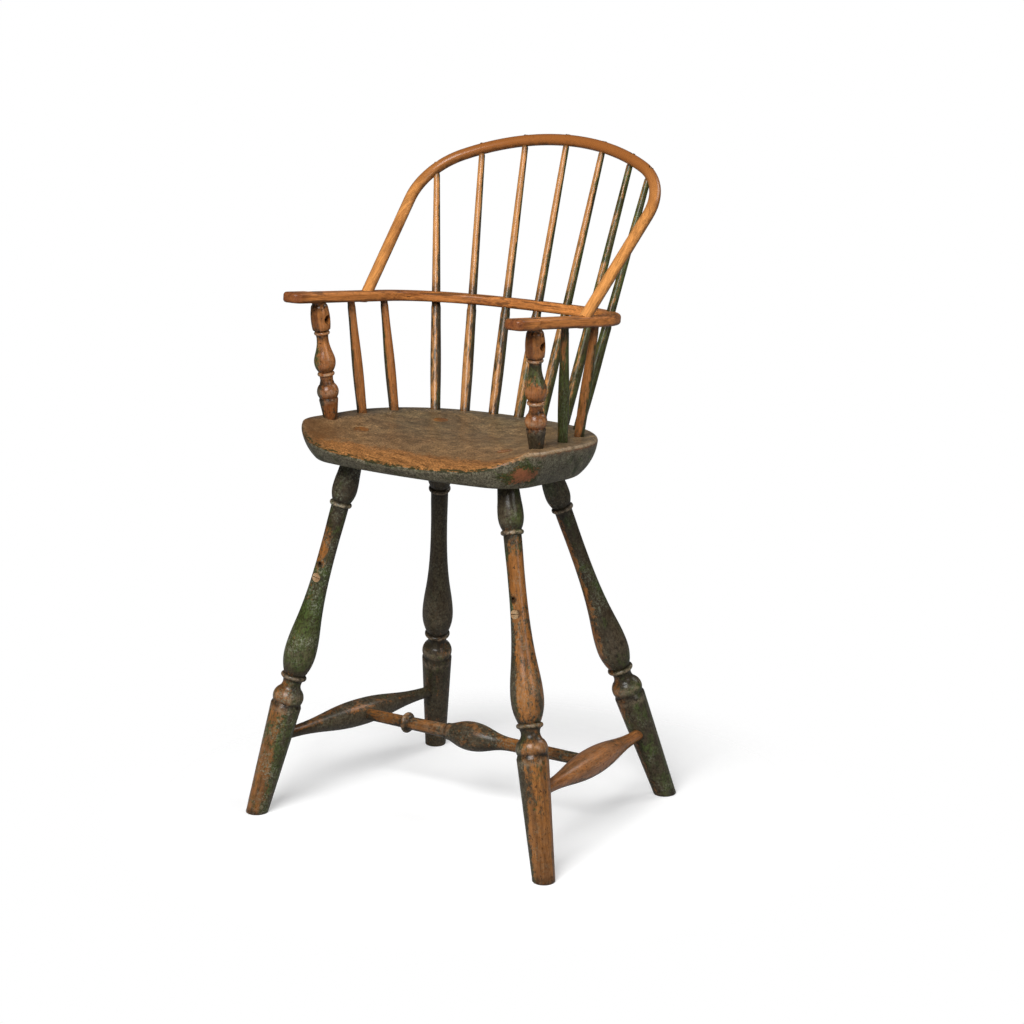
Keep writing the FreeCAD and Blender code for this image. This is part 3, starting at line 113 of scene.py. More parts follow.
class Board:
    """A node tree with short ways to add and join its nodes."""

    def __init__(self, tree):
        self.tree = tree

    def feed(self, socket, value):
        """Join an output to a socket, or set the socket's own value."""
        if isinstance(value, bpy.types.NodeSocket):
            self.tree.links.new(value, socket)
        else:
            socket.default_value = value

    def add(self, kind, inputs=None, **settings):
        """Add a node, set its properties, feed its inputs and return it."""
        node = self.tree.nodes.new(kind)
        for name, value in settings.items():
            setattr(node, name, value)
        for socket, value in (inputs or {}).items():
            self.feed(node.inputs[socket], value)
        return node

    def math(self, operation, first, second=0.0, clamp=False):
        """Return the result of a calculation on two values."""
        node = self.add("ShaderNodeMath", {0: first, 1: second}, operation=operation, use_clamp=clamp)
        return node.outputs[0]

    def product(self, *values):
        """Return several values multiplied."""
        result = values[0]
        for value in values[1:]:
            result = self.math("MULTIPLY", result, value)
        return result

    def total(self, *values, clamp=False):
        """Return several values added."""
        result = values[0]
        for value in values[1:]:
            result = self.math("ADD", result, value)
        return self.math("ADD", result, 0.0, clamp=True) if clamp else result

    def vector(self, operation, first, second=(0.0, 0.0, 0.0), output="Vector"):
        """Return the result of a calculation on two vectors."""
        node = self.add("ShaderNodeVectorMath", {0: first, 1: second}, operation=operation)
        return node.outputs[output]

    def dot(self, first, second):
        """Return the dot product of two vectors."""
        return self.vector("DOT_PRODUCT", first, second, output="Value")

    def scaled(self, vector, factor):
        """Return a vector times a number."""
        node = self.add("ShaderNodeVectorMath", {0: vector, "Scale": factor}, operation="SCALE")
        return node.outputs["Vector"]

    def noise(self, place, scale, detail=4.0, roughness=0.55, distortion=0.0):
        """Return a noise value centred on a half."""
        node = self.add("ShaderNodeTexNoise", {
            "Vector": place, "Scale": scale, "Detail": detail, "Roughness": roughness,
            "Distortion": distortion,
        })
        return node.outputs[0]

    def rise(self, value, low, high, bottom=0.0, top=1.0):
        """Return a smooth change from bottom to top as a value goes from low to high."""
        node = self.add("ShaderNodeMapRange", {
            "Value": value, "From Min": low, "From Max": high, "To Min": bottom, "To Max": top,
        }, interpolation_type="SMOOTHSTEP")
        return node.outputs["Result"]

    def swing(self, value, reach):
        """Return a noise value moved to swing round zero."""
        return self.math("MULTIPLY", self.math("SUBTRACT", value, 0.5), reach)

    def mix(self, factor, first, second, blend="MIX"):
        """Return two colours mixed."""
        node = self.add("ShaderNodeMix", {"Factor": factor}, data_type="RGBA", blend_type=blend)
        self.feed(node.inputs[MIX_FIRST], first)
        self.feed(node.inputs[MIX_SECOND], second)
        return node.outputs[MIX_RESULT]

    def grey(self, shade):
        """Return a value as a grey colour."""
        node = self.add("ShaderNodeCombineColor", {"Red": shade, "Green": shade, "Blue": shade})
        return node.outputs[0]

    def shaded(self, colour, shade):
        """Return a colour made darker or lighter by a value."""
        return self.mix(1.0, colour, self.grey(shade), "MULTIPLY")

    def ramp(self, value, stops):
        """Return a value read from a row of (place, value) stops between 0 and 1."""
        node = self.add("ShaderNodeValToRGB", {"Fac": value})
        elements = node.color_ramp.elements
        while len(elements) < len(stops):
            elements.new(1.0)
        for element, (place, level) in zip(elements, stops):
            element.position = place
            element.color = (level, level, level, 1.0)
        return node.outputs["Color"]

    def group(self, name, inputs):
        """Add a node group and return its outputs."""
        node = self.add("ShaderNodeGroup", node_tree=bpy.data.node_groups[name])
        for socket, value in inputs.items():
            self.feed(node.inputs[socket], value)
        return node.outputs


def rgba(colour):
    """Return a colour property's value as a socket takes it."""
    return (*colour, 1.0)


def new_group(name, inputs, outputs):
    """Start a shader node group; return its board, its inputs and its outputs."""
    tree = bpy.data.node_groups.new(name, "ShaderNodeTree")
    for label, kind, default in inputs:
        tree.interface.new_socket(label, in_out="INPUT", socket_type=kind).default_value = default
    for label, kind in outputs:
        tree.interface.new_socket(label, in_out="OUTPUT", socket_type=kind)
    given = tree.nodes.new("NodeGroupInput").outputs
    wanted = tree.nodes.new("NodeGroupOutput").inputs
    return Board(tree), given, wanted


def make_turned_grain():
    """Group: place along a turned piece's axis and grain that runs along it."""
    board, given, wanted = new_group(
        "Turned Grain",
        [("Foot", VECTOR, (0, 0, 0)), ("Direction", VECTOR, (0, 0, 1)), ("Stretch", VALUE, 0.08)],
        [("Along", VALUE), ("Grain", VECTOR), ("Position", VECTOR)],
    )
    position = board.add("ShaderNodeTexCoord").outputs["Object"]
    offset = board.vector("SUBTRACT", position, given["Foot"])
    along = board.dot(offset, given["Direction"])
    on_axis = board.scaled(given["Direction"], along)
    spoke = board.vector("SUBTRACT", offset, on_axis)
    board.feed(wanted["Along"], along)
    board.feed(wanted["Grain"], board.vector("ADD", spoke, board.scaled(on_axis, given["Stretch"])))
    board.feed(wanted["Position"], position)


def make_bent_grain():
    """Group: grain that runs up, round and down a piece bent into a U in a plane."""
    board, given, wanted = new_group(
        "Bent Grain",
        [("Origin", VECTOR, (0, 0, 0)), ("Across", VECTOR, (1, 0, 0)), ("Up", VECTOR, (0, 1, 0)),
         ("Reach", VALUE, 0.15), ("Stretch", VALUE, 0.06)],
        [("Along", VALUE), ("Grain", VECTOR), ("Position", VECTOR)],
    )
    position = board.add("ShaderNodeTexCoord").outputs["Object"]
    offset = board.vector("SUBTRACT", position, given["Origin"])
    across = board.dot(offset, given["Across"])
    over = board.math("SUBTRACT", board.dot(offset, given["Up"]), given["Reach"])
    depth = board.dot(offset, board.vector("CROSS_PRODUCT", given["Across"], given["Up"]))
    turn = board.math("MAXIMUM", over, 0.0)
    straight = board.math("MINIMUM", over, 0.0)
    side = board.math("ABSOLUTE", across)
    spoke = board.math("SQRT", board.total(board.math("POWER", side, 2.0), board.math("POWER", turn, 2.0)))
    along = board.total(straight, board.product(board.math("ARCTAN2", turn, side), spoke))
    signed = board.product(spoke, board.math("SIGN", across))
    grain = board.add("ShaderNodeCombineXYZ", {
        "X": signed, "Y": board.product(along, given["Stretch"]), "Z": depth,
    })
    board.feed(wanted["Along"], along)
    board.feed(wanted["Grain"], grain.outputs[0])
    board.feed(wanted["Position"], position)


def make_aged_wood():
    """Group: bare wood with broad streaks, thin dark lines and fine fibres along the grain."""
    board, given, wanted = new_group(
        "Aged Wood",
        [("Grain", VECTOR, (0, 0, 0)), ("Pale", COLOUR, WHITE), ("Deep", COLOUR, WHITE),
         ("Streaks", VALUE, 0.7), ("Lines", VALUE, 0.4)],
        [("Color", COLOUR), ("Fibre", VALUE)],
    )
    streak = board.noise(given["Grain"], 120.0, 6.0, 0.62, 0.5)
    cloud = board.noise(given["Grain"], 26.0, 4.0, 0.6)
    line = board.noise(given["Grain"], 330.0, 4.0, 0.6)
    fibre = board.noise(given["Grain"], 760.0, 3.0, 0.6)
    streaked = board.product(board.rise(streak, 0.38, 0.68), given["Streaks"])
    share = board.total(streaked, board.rise(cloud, 0.46, 0.74, 0.0, 0.55), clamp=True)
    wood = board.mix(share, given["Pale"], given["Deep"])
    dark = board.product(board.rise(line, 0.52, 0.70), given["Lines"])
    lined = board.shaded(wood, board.math("SUBTRACT", 1.0, dark))
    board.feed(wanted["Color"], board.shaded(lined, board.rise(fibre, 0.3, 0.7, 0.74, 1.2)))
    board.feed(wanted["Fibre"], line)


def make_worn_paint():
    """Group: two coats of old paint rubbed through to the wood in ragged patches."""
    board, given, wanted = new_group(
        "Worn Paint",
        [("Position", VECTOR, (0, 0, 0)), ("Wood", COLOUR, WHITE), ("Dark", COLOUR, WHITE),
         ("Green", COLOUR, WHITE), ("Cover", VALUE, 0.5), ("Green Share", VALUE, 0.3),
         ("Seed", VALUE, 0.0)],
        [("Color", COLOUR), ("Paint", VALUE)],
    )
    place = board.vector("ADD", given["Position"], board.scaled((3.1, 1.7, 2.3), given["Seed"]))
    broad = board.noise(place, 42.0, 6.0, 0.62, 0.4)
    ragged = board.noise(place, 260.0, 6.0, 0.72)
    level = board.total(given["Cover"], board.swing(broad, 1.35), board.swing(ragged, 1.5))
    paint = board.rise(level, 0.34, 0.66)
    tint = board.noise(board.vector("ADD", place, (5.0, 9.0, 4.0)), 46.0, 6.0, 0.66)
    green = board.rise(board.total(board.swing(tint, 2.2), given["Green Share"]), 0.3, 0.7)
    coat = board.mix(green, given["Dark"], given["Green"])
    coat = board.shaded(coat, board.rise(board.noise(place, 430.0, 4.0, 0.7), 0.32, 0.68, 0.3, 1.7))
    coat = board.shaded(coat, board.rise(board.noise(place, 75.0, 4.0, 0.6), 0.3, 0.7, 0.7, 1.3))
    board.feed(wanted["Color"], board.mix(board.product(paint, 0.95), given["Wood"], coat))
    board.feed(wanted["Paint"], paint)


def make_grime():
    """Group: dirt settled in by an amount, broken up by noise; the amount also carries painted shade on the
    bent pieces.
    """
    board, given, wanted = new_group(
        "Grime",
        [("Position", VECTOR, (0, 0, 0)), ("Color", COLOUR, WHITE), ("Dirt", COLOUR, WHITE),
         ("Amount", VALUE, 0.3), ("Specks", VALUE, 0.5)],
        [("Color", COLOUR)],
    )
    patch = board.rise(board.noise(given["Position"], 140.0, 6.0, 0.7), 0.3, 0.7, 0.4, 1.35)
    pits = board.noise(given["Position"], 230.0, 6.0, 0.78, 0.6)
    spots = board.rise(pits, 0.56, 0.66, 0.0, given["Specks"])
    amount = board.total(board.product(given["Amount"], patch), spots, clamp=True)
    board.feed(wanted["Color"], board.mix(amount, given["Color"], given["Dirt"]))


def make_scuffs():
    """Group: pale specks where knocks have gone through to the ground coat."""
    board, given, wanted = new_group(
        "Pale Scuffs",
        [("Position", VECTOR, (0, 0, 0)), ("Color", COLOUR, WHITE), ("Scuff", COLOUR, WHITE),
         ("Amount", VALUE, 0.3), ("Seed", VALUE, 0.0)],
        [("Color", COLOUR)],
    )
    place = board.vector("ADD", given["Position"], board.scaled((1.3, 4.1, 0.7), given["Seed"]))
    area = board.rise(board.noise(place, 28.0, 4.0, 0.6), 0.44, 0.62)
    fleck = board.rise(board.noise(place, 330.0, 6.0, 0.72), 0.46, 0.66)
    amount = board.math("MULTIPLY", board.product(area, fleck), given["Amount"], clamp=True)
    board.feed(wanted["Color"], board.mix(amount, given["Color"], given["Scuff"]))


def make_dashes():
    """Group: short dark cracks and stains that lie along the grain."""
    board, given, wanted = new_group(
        "Dark Dashes",
        [("Grain", VECTOR, (0, 0, 0)), ("Color", COLOUR, WHITE), ("Dirt", COLOUR, WHITE),
         ("Amount", VALUE, 0.5)],
        [("Color", COLOUR)],
    )
    long_marks = board.rise(board.noise(given["Grain"], 150.0, 3.0, 0.5, 0.3), 0.56, 0.65)
    shorter = board.vector("MULTIPLY", given["Grain"], (1.0, 4.0, 1.0))
    blots = board.rise(board.noise(shorter, 80.0, 4.0, 0.6), 0.57, 0.68)
    amount = board.math("MULTIPLY", board.math("MAXIMUM", long_marks, blots), given["Amount"], clamp=True)
    board.feed(wanted["Color"], board.mix(amount, given["Color"], given["Dirt"]))


def make_near_point():
    """Group: a mask that is full near a point and fades out with a ragged edge."""
    board, given, wanted = new_group(
        "Near Point",
        [("Position", VECTOR, (0, 0, 0)), ("Point", VECTOR, (0, 0, 0)), ("Inner", VALUE, 0.01),
         ("Outer", VALUE, 0.02), ("Raggedness", VALUE, 0.004)],
        [("Mask", VALUE)],
    )
    distance = board.vector("DISTANCE", given["Position"], given["Point"], output="Value")
    edge = board.swing(board.noise(given["Position"], 170.0, 5.0, 0.65), 4.0)
    wobble = board.product(edge, given["Raggedness"])
    board.feed(wanted["Mask"], board.rise(board.total(distance, wobble), given["Outer"], given["Inner"]))


def node_points(node):
    """Return the points of a chair piece as an array in metres."""
    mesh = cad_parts[node].data
    points = np.empty(len(mesh.vertices) * 3, np.float32)
    mesh.vertices.foreach_get("co", points)
    return points.reshape(-1, 3).astype(float)


def lathe_axis(node, along):
    """Return the foot, unit direction and length of a turned piece, pointing roughly along a vector."""
    points = node_points(node)
    centre = points.mean(axis=0)
    spread = points - centre
    direction = np.linalg.eigh(spread.T @ spread)[1][:, -1]
    if direction @ np.array(along) < 0:
        direction = -direction
    reach = spread @ direction
    return Vector(centre + direction * reach.min()), Vector(direction), float(np.ptp(reach))


def new_material(name):
    """Start a material; return it, its board and its shader."""
    material = bpy.data.materials.new(name)
    material.use_nodes = True
    shader = material.node_tree.nodes["Principled BSDF"]
    return material, Board(material.node_tree), shader


def dress(node, material):
    """Put a material on a chair piece."""
    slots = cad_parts[node].material_slots
    if not slots:
        raise RuntimeError(f"{node} has no material slot")
    for slot in slots:
        slot.material = material


def finish_surface(board, shader, colour, height, shine, relief, coat=0.45):
    """Feed a colour, a height and a roughness range into a shader."""
    board.feed(shader.inputs["Base Color"], colour)
    board.feed(shader.inputs["Roughness"], board.rise(height, 0.2, 0.8, *shine))
    bump = board.add("ShaderNodeBump", {"Height": height, "Strength": 0.6, "Distance": relief})
    board.feed(shader.inputs["Normal"], bump.outputs["Normal"])
    shader.inputs["Specular IOR Level"].default_value = 0.12
    shader.inputs["Coat Weight"].default_value = coat
    shader.inputs["Coat Roughness"].default_value = 0.22
    shader.inputs["Coat IOR"].default_value = 1.4


def along_ramp(board, share, first, length, stops):
    """Return a ramp whose stops are given in millimetres from where the piece's own measure starts."""
    places = [(min(max((place - first) / 1000.0 / length, 0.0), 1.0), level) for place, level in stops]
    return board.ramp(share, places)


def turned_material(node, along, first, look):
    """Make the worn finish of one turned piece; first is the measure in millimetres at its foot end."""
    finish = bpy.context.scene.high_chair_finish
    material, board, shader = new_material(f"{node}_finish")
    foot, direction, length = lathe_axis(node, along)
    grain = board.group("Turned Grain", {"Foot": foot, "Direction": direction})
    position = grain["Position"]
    worn = board.group("Turned Grain", {
        "Foot": foot, "Direction": direction, "Stretch": look.get("wear", 0.6),
    })["Grain"]
    share = board.math("DIVIDE", grain["Along"], length)
    wood = board.group("Aged Wood", {
        "Grain": grain["Grain"], "Pale": rgba(look["pale"]), "Deep": rgba(look["deep"]),
        "Streaks": look.get("streaks", 0.6), "Lines": 0.3,
    })
    # More paint on the faces that turn towards one given side; on the long spindles this paint is partly
    # painted shade on their right sides.
    facing = board.dot(board.add("ShaderNodeNewGeometry").outputs["Normal"], look["darker_side"])
    darker_side = board.rise(facing, *look.get("turn", (0.1, 0.9)), 0.0, look["side_darkness"])
    painted = along_ramp(board, share, first, length, look["cover"])
    cover = board.total(painted, darker_side, look.get("bias", 0.0))
    paint = board.group("Worn Paint", {
        "Position": worn, "Wood": wood["Color"], "Dark": rgba(finish.olive), "Green": rgba(finish.green),
        "Green Share": along_ramp(board, share, first, length, look["green"]),
        "Cover": cover, "Seed": look["seed"],
    })
    scuffed = board.group("Pale Scuffs", {
        "Position": position, "Color": paint["Color"], "Scuff": rgba(finish.scuff),
        "Amount": look["scuffs"], "Seed": look["seed"],
    })
    colour = scuffed["Color"]
    if "rub" in look:
        crests = along_ramp(board, share, first, length, look["rub"])
        broken = board.rise(board.noise(position, 150.0, 5.0, 0.7), 0.36, 0.62)
        colour = board.mix(board.product(crests, broken), colour, rgba(finish.rub))
    dirty = board.group("Grime", {
        "Position": position, "Color": colour, "Dirt": rgba(finish.grime),
        "Amount": along_ramp(board, share, first, length, look["grime"]), "Specks": look.get("specks", 0.8),
    })
    colour = dirty["Color"]
    for point, inner, outer in look.get("marks", ()):
        mark = board.group("Near Point", {
            "Position": position, "Point": point, "Inner": inner, "Outer": outer, "Raggedness": outer / 8.0,
        })
        colour = board.mix(board.product(mark["Mask"], 0.85), colour, rgba(finish.grime))
    height = board.total(board.product(wood["Fibre"], 0.5), board.product(paint["Paint"], 0.4))
    finish_surface(board, shader, colour, height, look["shine"], finish.relief * look.get("rough", 1.0))
    dress(node, material)


def bent_material(node, bend, look):
    """Make the bare wood finish of a bent piece from its bend and its look, with painted shade on the faces
    that turn from the light.
    """
    finish = bpy.context.scene.high_chair_finish
    material, board, shader = new_material(f"{node}_finish")
    grain = board.group("Bent Grain", bend)
    wood = board.group("Aged Wood", {
        "Grain": grain["Grain"], "Pale": rgba(look["pale"]), "Deep": rgba(look["deep"]),
        "Streaks": look["streaks"], "Lines": look["lines"],
    })
    dashed = board.group("Dark Dashes", {
        "Grain": grain["Grain"], "Color": wood["Color"], "Dirt": rgba(finish.grime),
        "Amount": look["dashes"],
    })
    colour = dashed["Color"]
    if "handled" in look:
        forward = board.dot(grain["Position"], (0.0, -1.0, 0.0))
        colour = board.mix(board.rise(forward, *look["handled"], 0.0, 0.8), colour, rgba(finish.handled))
    # Painted shade: the bow's crown, whose top faces up and back, is mixed towards the deep colour.
    if "crown" in look:
        crown = board.rise(grain["Along"], *look["crown"], 0.0, 0.95)
        colour = board.mix(crown, colour, rgba(look["deep"]))
    # Painted shade: faces that turn towards the darker side get up to 0.62 more grime on top of the even
    # dirt.
    shade_facing = board.dot(board.add("ShaderNodeNewGeometry").outputs["Normal"], look["darker_side"])
    dirty = board.group("Grime", {
        "Position": grain["Position"], "Color": colour, "Dirt": rgba(finish.grime),
        "Amount": board.rise(shade_facing, 0.0, 0.85, look["dirt"], look["dirt"] + 0.62), "Specks": look["specks"],
    })
    relief = 0.4 * finish.relief
    finish_surface(board, shader, dirty["Color"], wood["Fibre"], look["shine"], relief, look["coat"])
    dress(node, material)


class HIGHCHAIR_OT_effects(bpy.types.Operator):
    """Build the node groups that the finishes share"""

    bl_idname = "high_chair.effects"
    bl_label = "Shared Effects"

    def execute(self, context):
        make_turned_grain()
        make_bent_grain()
        make_aged_wood()
        make_worn_paint()
        make_grime()
        make_scuffs()
        make_dashes()
        make_near_point()
        return {"FINISHED"}


class HIGHCHAIR_OT_seat(bpy.types.Operator):
    """Dress the dished seat plank"""

    bl_idname = "high_chair.seat"
    bl_label = "Seat"

    rim_normal = (0.0, 0.0854, 0.9963)
    rim_height = 0.5587
    rim_fall = 0.0857
    patch_place = (0.181, -0.166, 0.541)
    # Depths between which the dish turns into the flat deck
    deck_depth = (-0.0022, -0.0004)
    # Where the lip, the warmer brown and the bare left corner start and where they are full
    lip_reach, warm_reach = (-0.140, -0.195), (0.02, -0.17)
    corner_across, corner_forward = (-0.09, -0.15), (-0.11, -0.16)

    def execute(self, context):
        finish = context.scene.high_chair_finish
        material, board, shader = new_material("seat_finish")
        grain = board.group("Turned Grain", {
            "Foot": (0, 0, 0), "Direction": (0.97, -0.24, 0.0), "Stretch": 0.16,
        })
        position = grain["Position"]
        axes = board.add("ShaderNodeSeparateXYZ", {"Vector": position}).outputs
        upward = board.dot(board.add("ShaderNodeNewGeometry").outputs["Normal"], self.rim_normal)
        wood = board.group("Aged Wood", {
            "Grain": grain["Grain"], "Pale": rgba(finish.seat_brown), "Deep": rgba(finish.seat_shade),
            "Streaks": 0.55,
        })
        front = board.rise(axes["Y"], *self.lip_reach)
        lip = board.group("Aged Wood", {
            "Grain": grain["Grain"], "Pale": rgba(finish.seat_lip), "Deep": rgba(finish.umber),
            "Streaks": 0.5, "Lines": 0.6,
        })
        top = self.rubbed_top(board, finish, position, axes, wood["Color"], lip["Color"], front)
        painted = self.painted_edge(board, finish, position, axes, upward, top)
        colour = self.arris_wear_and_highlight(board, finish, position, upward, painted["Color"], front)
        dirty = board.group("Grime", {
            "Position": position, "Color": colour, "Dirt": rgba(finish.grime),
            "Amount": board.rise(upward, 0.3, -0.7, 0.15, 0.34),
        })
        height = board.total(board.product(wood["Fibre"], 0.6), board.product(painted["Paint"], 0.3))
        finish_surface(board, shader, dirty["Color"], height, (0.36, 0.6), finish.relief, coat=0.12)
        dress("seat", material)
        return {"FINISHED"}

    def rubbed_top(self, board, finish, position, axes, wood, lip, front):
        """Return the colour of the top: brown clouds, a grey deck, scratches, painted light on its right
        side and a bare lip.
        """
        depth = board.total(axes["Z"], board.product(axes["Y"], self.rim_fall), -self.rim_height)
        deck = board.rise(depth, *self.deck_depth)
        cloud = board.rise(board.noise(position, 17.0, 5.0, 0.62), 0.4, 0.64)
        top = board.mix(board.product(cloud, 0.75), wood, rgba(finish.seat_cloud))
        top = board.mix(board.product(deck, 0.7), top, rgba(finish.seat_deck))
        across = board.vector("MULTIPLY", position, (60.0, 420.0, 200.0))
        slanted = board.vector("MULTIPLY", position, (420.0, 90.0, 200.0))
        strokes = board.math(
            "MAXIMUM", board.rise(board.noise(across, 1.0, 4.0, distortion=1.2), 0.55, 0.63),
            board.rise(board.noise(slanted, 1.0, 4.0, distortion=1.2), 0.56, 0.64),
        )
        area = board.rise(board.noise(position, 15.0, 3.0), 0.45, 0.58, 0.12, 0.95)
        top = board.mix(board.product(strokes, area), top, rgba(finish.seat_scratch))
        # Painted light: the dish grows up to 22 per cent lighter towards its right side.
        top = board.shaded(top, board.rise(axes["X"], -0.1, 0.14, 1.0, 1.22))
        warm = board.rise(axes["Y"], *self.warm_reach, 0.0, 0.55)
        top = board.mix(warm, top, rgba(finish.seat_warm))
        speckle = board.rise(board.noise(position, 420.0, 5.0, 0.75), 0.36, 0.64, 0.5, 1.4)
        mottle = board.rise(board.noise(position, 60.0, 5.0), 0.3, 0.7, 0.7, 1.25)
        top = board.shaded(top, board.product(speckle, mottle))
        inland = board.product(front, board.rise(axes["X"], -0.17, -0.08, 0.45, 1.0))
        ragged = board.total(
            inland, board.swing(board.noise(position, 70.0, 5.0, 0.66), 1.3),
            board.swing(board.noise(position, 330.0, 5.0, 0.72), 1.1),
        )
        return board.mix(board.rise(ragged, 0.28, 0.8), top, board.shaded(lip, speckle))

    def painted_edge(self, board, finish, position, axes, upward, top):
        """Return the paint that covers the edge, bare at the left corner and on a patch at the right."""
        corner = board.product(
            board.rise(axes["X"], *self.corner_across), board.rise(axes["Y"], *self.corner_forward),
        )
        patch = board.group("Near Point", {
            "Position": board.vector("MULTIPLY", position, (1.0, 1.0, 2.0)),
            "Point": (self.patch_place[0], self.patch_place[1], 2.0 * self.patch_place[2]),
            "Inner": 0.012, "Outer": 0.044, "Raggedness": 0.012,
        })["Mask"]
        cover = board.total(
            board.rise(upward, 0.55, -0.12, -0.1, 1.02), board.product(patch, -0.62),
            board.product(corner, board.rise(upward, -0.55, -0.1, 0.0, -0.6)),
        )
        browned = board.mix(board.product(corner, 0.6), top, rgba(finish.umber))
        russet = board.mix(patch, browned, rgba(finish.seat_patch))
        green = board.total(board.product(patch, 0.75), 0.26)
        return board.group("Worn Paint", {
            "Position": position, "Wood": russet, "Dark": rgba(finish.slate), "Green": rgba(finish.green),
            "Cover": cover, "Green Share": green, "Seed": 3.7,
        })

    @staticmethod
    def arris_wear_and_highlight(board, finish, position, upward, colour, front):
        """Return the colour with a pale line on the side arris, part wear and part painted highlight, and
        dark flecks along the front lip.
        """
        side = board.math("SUBTRACT", 1.0, front)
        # The pale line along the side arris is partly wear and partly a painted highlight.
        line = board.product(board.rise(upward, 0.95, 0.7), board.rise(upward, 0.1, 0.4), side)
        broken = board.rise(board.noise(position, 120.0, 5.0, 0.66), 0.36, 0.6, 0.1, 0.8)
        pale = board.mix(board.product(line, broken), colour, rgba(finish.rub))
        under = board.product(board.rise(upward, 0.3, 0.1), board.rise(upward, -0.2, -0.02), side)
        red = board.mix(board.product(under, broken, 0.7), pale, rgba(finish.seat_red))
        stretched = board.vector("MULTIPLY", position, (0.5, 1.0, 1.0))
        flecks = board.rise(board.noise(stretched, 190.0, 5.0, 0.68), 0.44, 0.56)
        band = board.product(board.rise(upward, 0.86, 0.6), board.rise(upward, -0.35, 0.1), front)
        return board.mix(board.product(band, flecks, 0.92), red, rgba(finish.seat_fleck))


# Tables of the turned pieces: (millimetres along the axis, level)
LEG_GRIME = (
    (-8, 0.8), (2, 0.6), (9, 0.15), (158, 0.12), (165, 0.5), (170, 0.95), (175, 0.4), (182, 0.06),
    (189, 0.5), (194, 0.55), (203, 0.5), (206.5, 0.8), (210, 0.0), (213.5, 0.85), (220, 0.3),
    (240, 0.1), (400, 0.1), (455, 0.2), (465, 0.8), (469.5, 0.0), (474, 0.85), (482, 0.3), (500, 0.3),
    (525, 0.5), (545, 0.35), (565, 0.2),
)
LEG_RUB = (
    (-8, 0.3), (4, 0.1), (155, 0.05), (163, 0.5), (168, 0.1), (181, 0.4), (190, 0.05), (206, 0.0),
    (210, 0.85), (214, 0.0), (245, 0.15), (300, 0.0), (465, 0.0), (469.5, 0.75), (474, 0.0), (494, 0.12),
    (520, 0.0),
)
LEG_LOOKS = {
    "leg_front_left": {
        "cover": ((-8, 0.22), (90, 0.32), (160, 0.44), (182, 0.18), (205, 0.5), (225, 0.85), (320, 0.88),
                  (350, 0.72), (390, 0.50), (430, 0.52), (450, 0.80), (500, 1.0), (535, 0.9), (548, 0.1)),
        "green": ((-8, 0.55), (160, 0.65), (215, 0.4), (240, 0.75), (320, 0.75), (380, 0.45), (460, 0.3),
                  (520, 0.2)),
        "scuffs": 1.0, "seed": 1.3, "darker_side": RIGHTWARD, "side_darkness": 0.58, "turn": (-0.3, 0.6),
    },
    "leg_front_right": {
        "cover": ((-8, 0.18), (100, 0.32), (160, 0.46), (185, 0.40), (205, 0.65), (225, 0.46), (320, 0.40),
                  (370, 0.32), (395, 0.0), (425, 0.0), (445, 0.5), (466, 0.7), (500, 0.95), (535, 0.9),
                  (548, 0.1)),
        "green": ((-8, 0.3), (160, 0.35), (230, 0.45), (300, 0.15), (430, 0.5), (500, 0.5), (520, 0.4)),
        "scuffs": 0.5, "seed": 4.4, "darker_side": LEFTWARD, "side_darkness": 0.6, "turn": (0.45, 1.0),
    },
    "leg_rear_left": {
        "cover": ((-8, 0.66), (160, 0.72), (185, 0.7), (240, 0.95), (400, 0.98), (535, 0.95), (548, 0.1)),
        "green": ((-8, 0.2), (160, 0.3), (240, 0.1), (520, 0.1)),
        "scuffs": 0.25, "seed": 7.9, "darker_side": RIGHTWARD, "side_darkness": 0.1,
    },
    "leg_rear_right": {
        "cover": ((-8, 0.52), (160, 0.58), (185, 0.5), (240, 0.46), (400, 0.44), (470, 0.6), (535, 0.9),
                  (548, 0.1)),
        "green": ((-8, 0.5), (160, 0.5), (240, 0.3), (520, 0.35)),
        "scuffs": 0.55, "seed": 9.2, "darker_side": RIGHTWARD, "side_darkness": 0.5, "turn": (-0.7, 0.0),
    },
}


# The nail hole as it lies from the peg: up the leg, and forward
NAIL_RISE, NAIL_FORWARD = 0.021, Vector((0.0, -0.008, 0.0))
# Radii where the dark marks are full and where they end
PEG_MARK, NAIL_MARK = (0.0078, 0.0115), (0.003, 0.0068)


def footrest_marks(node):
    """Return dark marks round the sawn-off peg and the nail hole of a front leg."""
    side = -1.0 if node.endswith("left") else 1.0
    pegs = node_points("footrest_pegs")
    peg = Vector(pegs[pegs[:, 0] * side > 0].mean(axis=0))
    direction = lathe_axis(node, UP)[1]
    nail = peg + direction * NAIL_RISE + NAIL_FORWARD
    return ((peg, *PEG_MARK), (nail, *NAIL_MARK))


class HIGHCHAIR_OT_legs(bpy.types.Operator):
    """Dress the four turned legs"""

    bl_idname = "high_chair.legs"
    bl_label = "Legs"

    def execute(self, context):
        finish = context.scene.high_chair_finish
        for node in LEGS:
            foot, direction, _ = lathe_axis(node, UP)
            first = foot.z / direction.z * 1000.0
            look = {
                "pale": finish.russet, "deep": finish.umber, "grime": LEG_GRIME, "rub": LEG_RUB,
                "shine": (0.34, 0.58), **LEG_LOOKS[node],
            }
            if "front" in node:
                look["marks"] = footrest_marks(node)
            turned_material(node, UP, first, look)
        return {"FINISHED"}


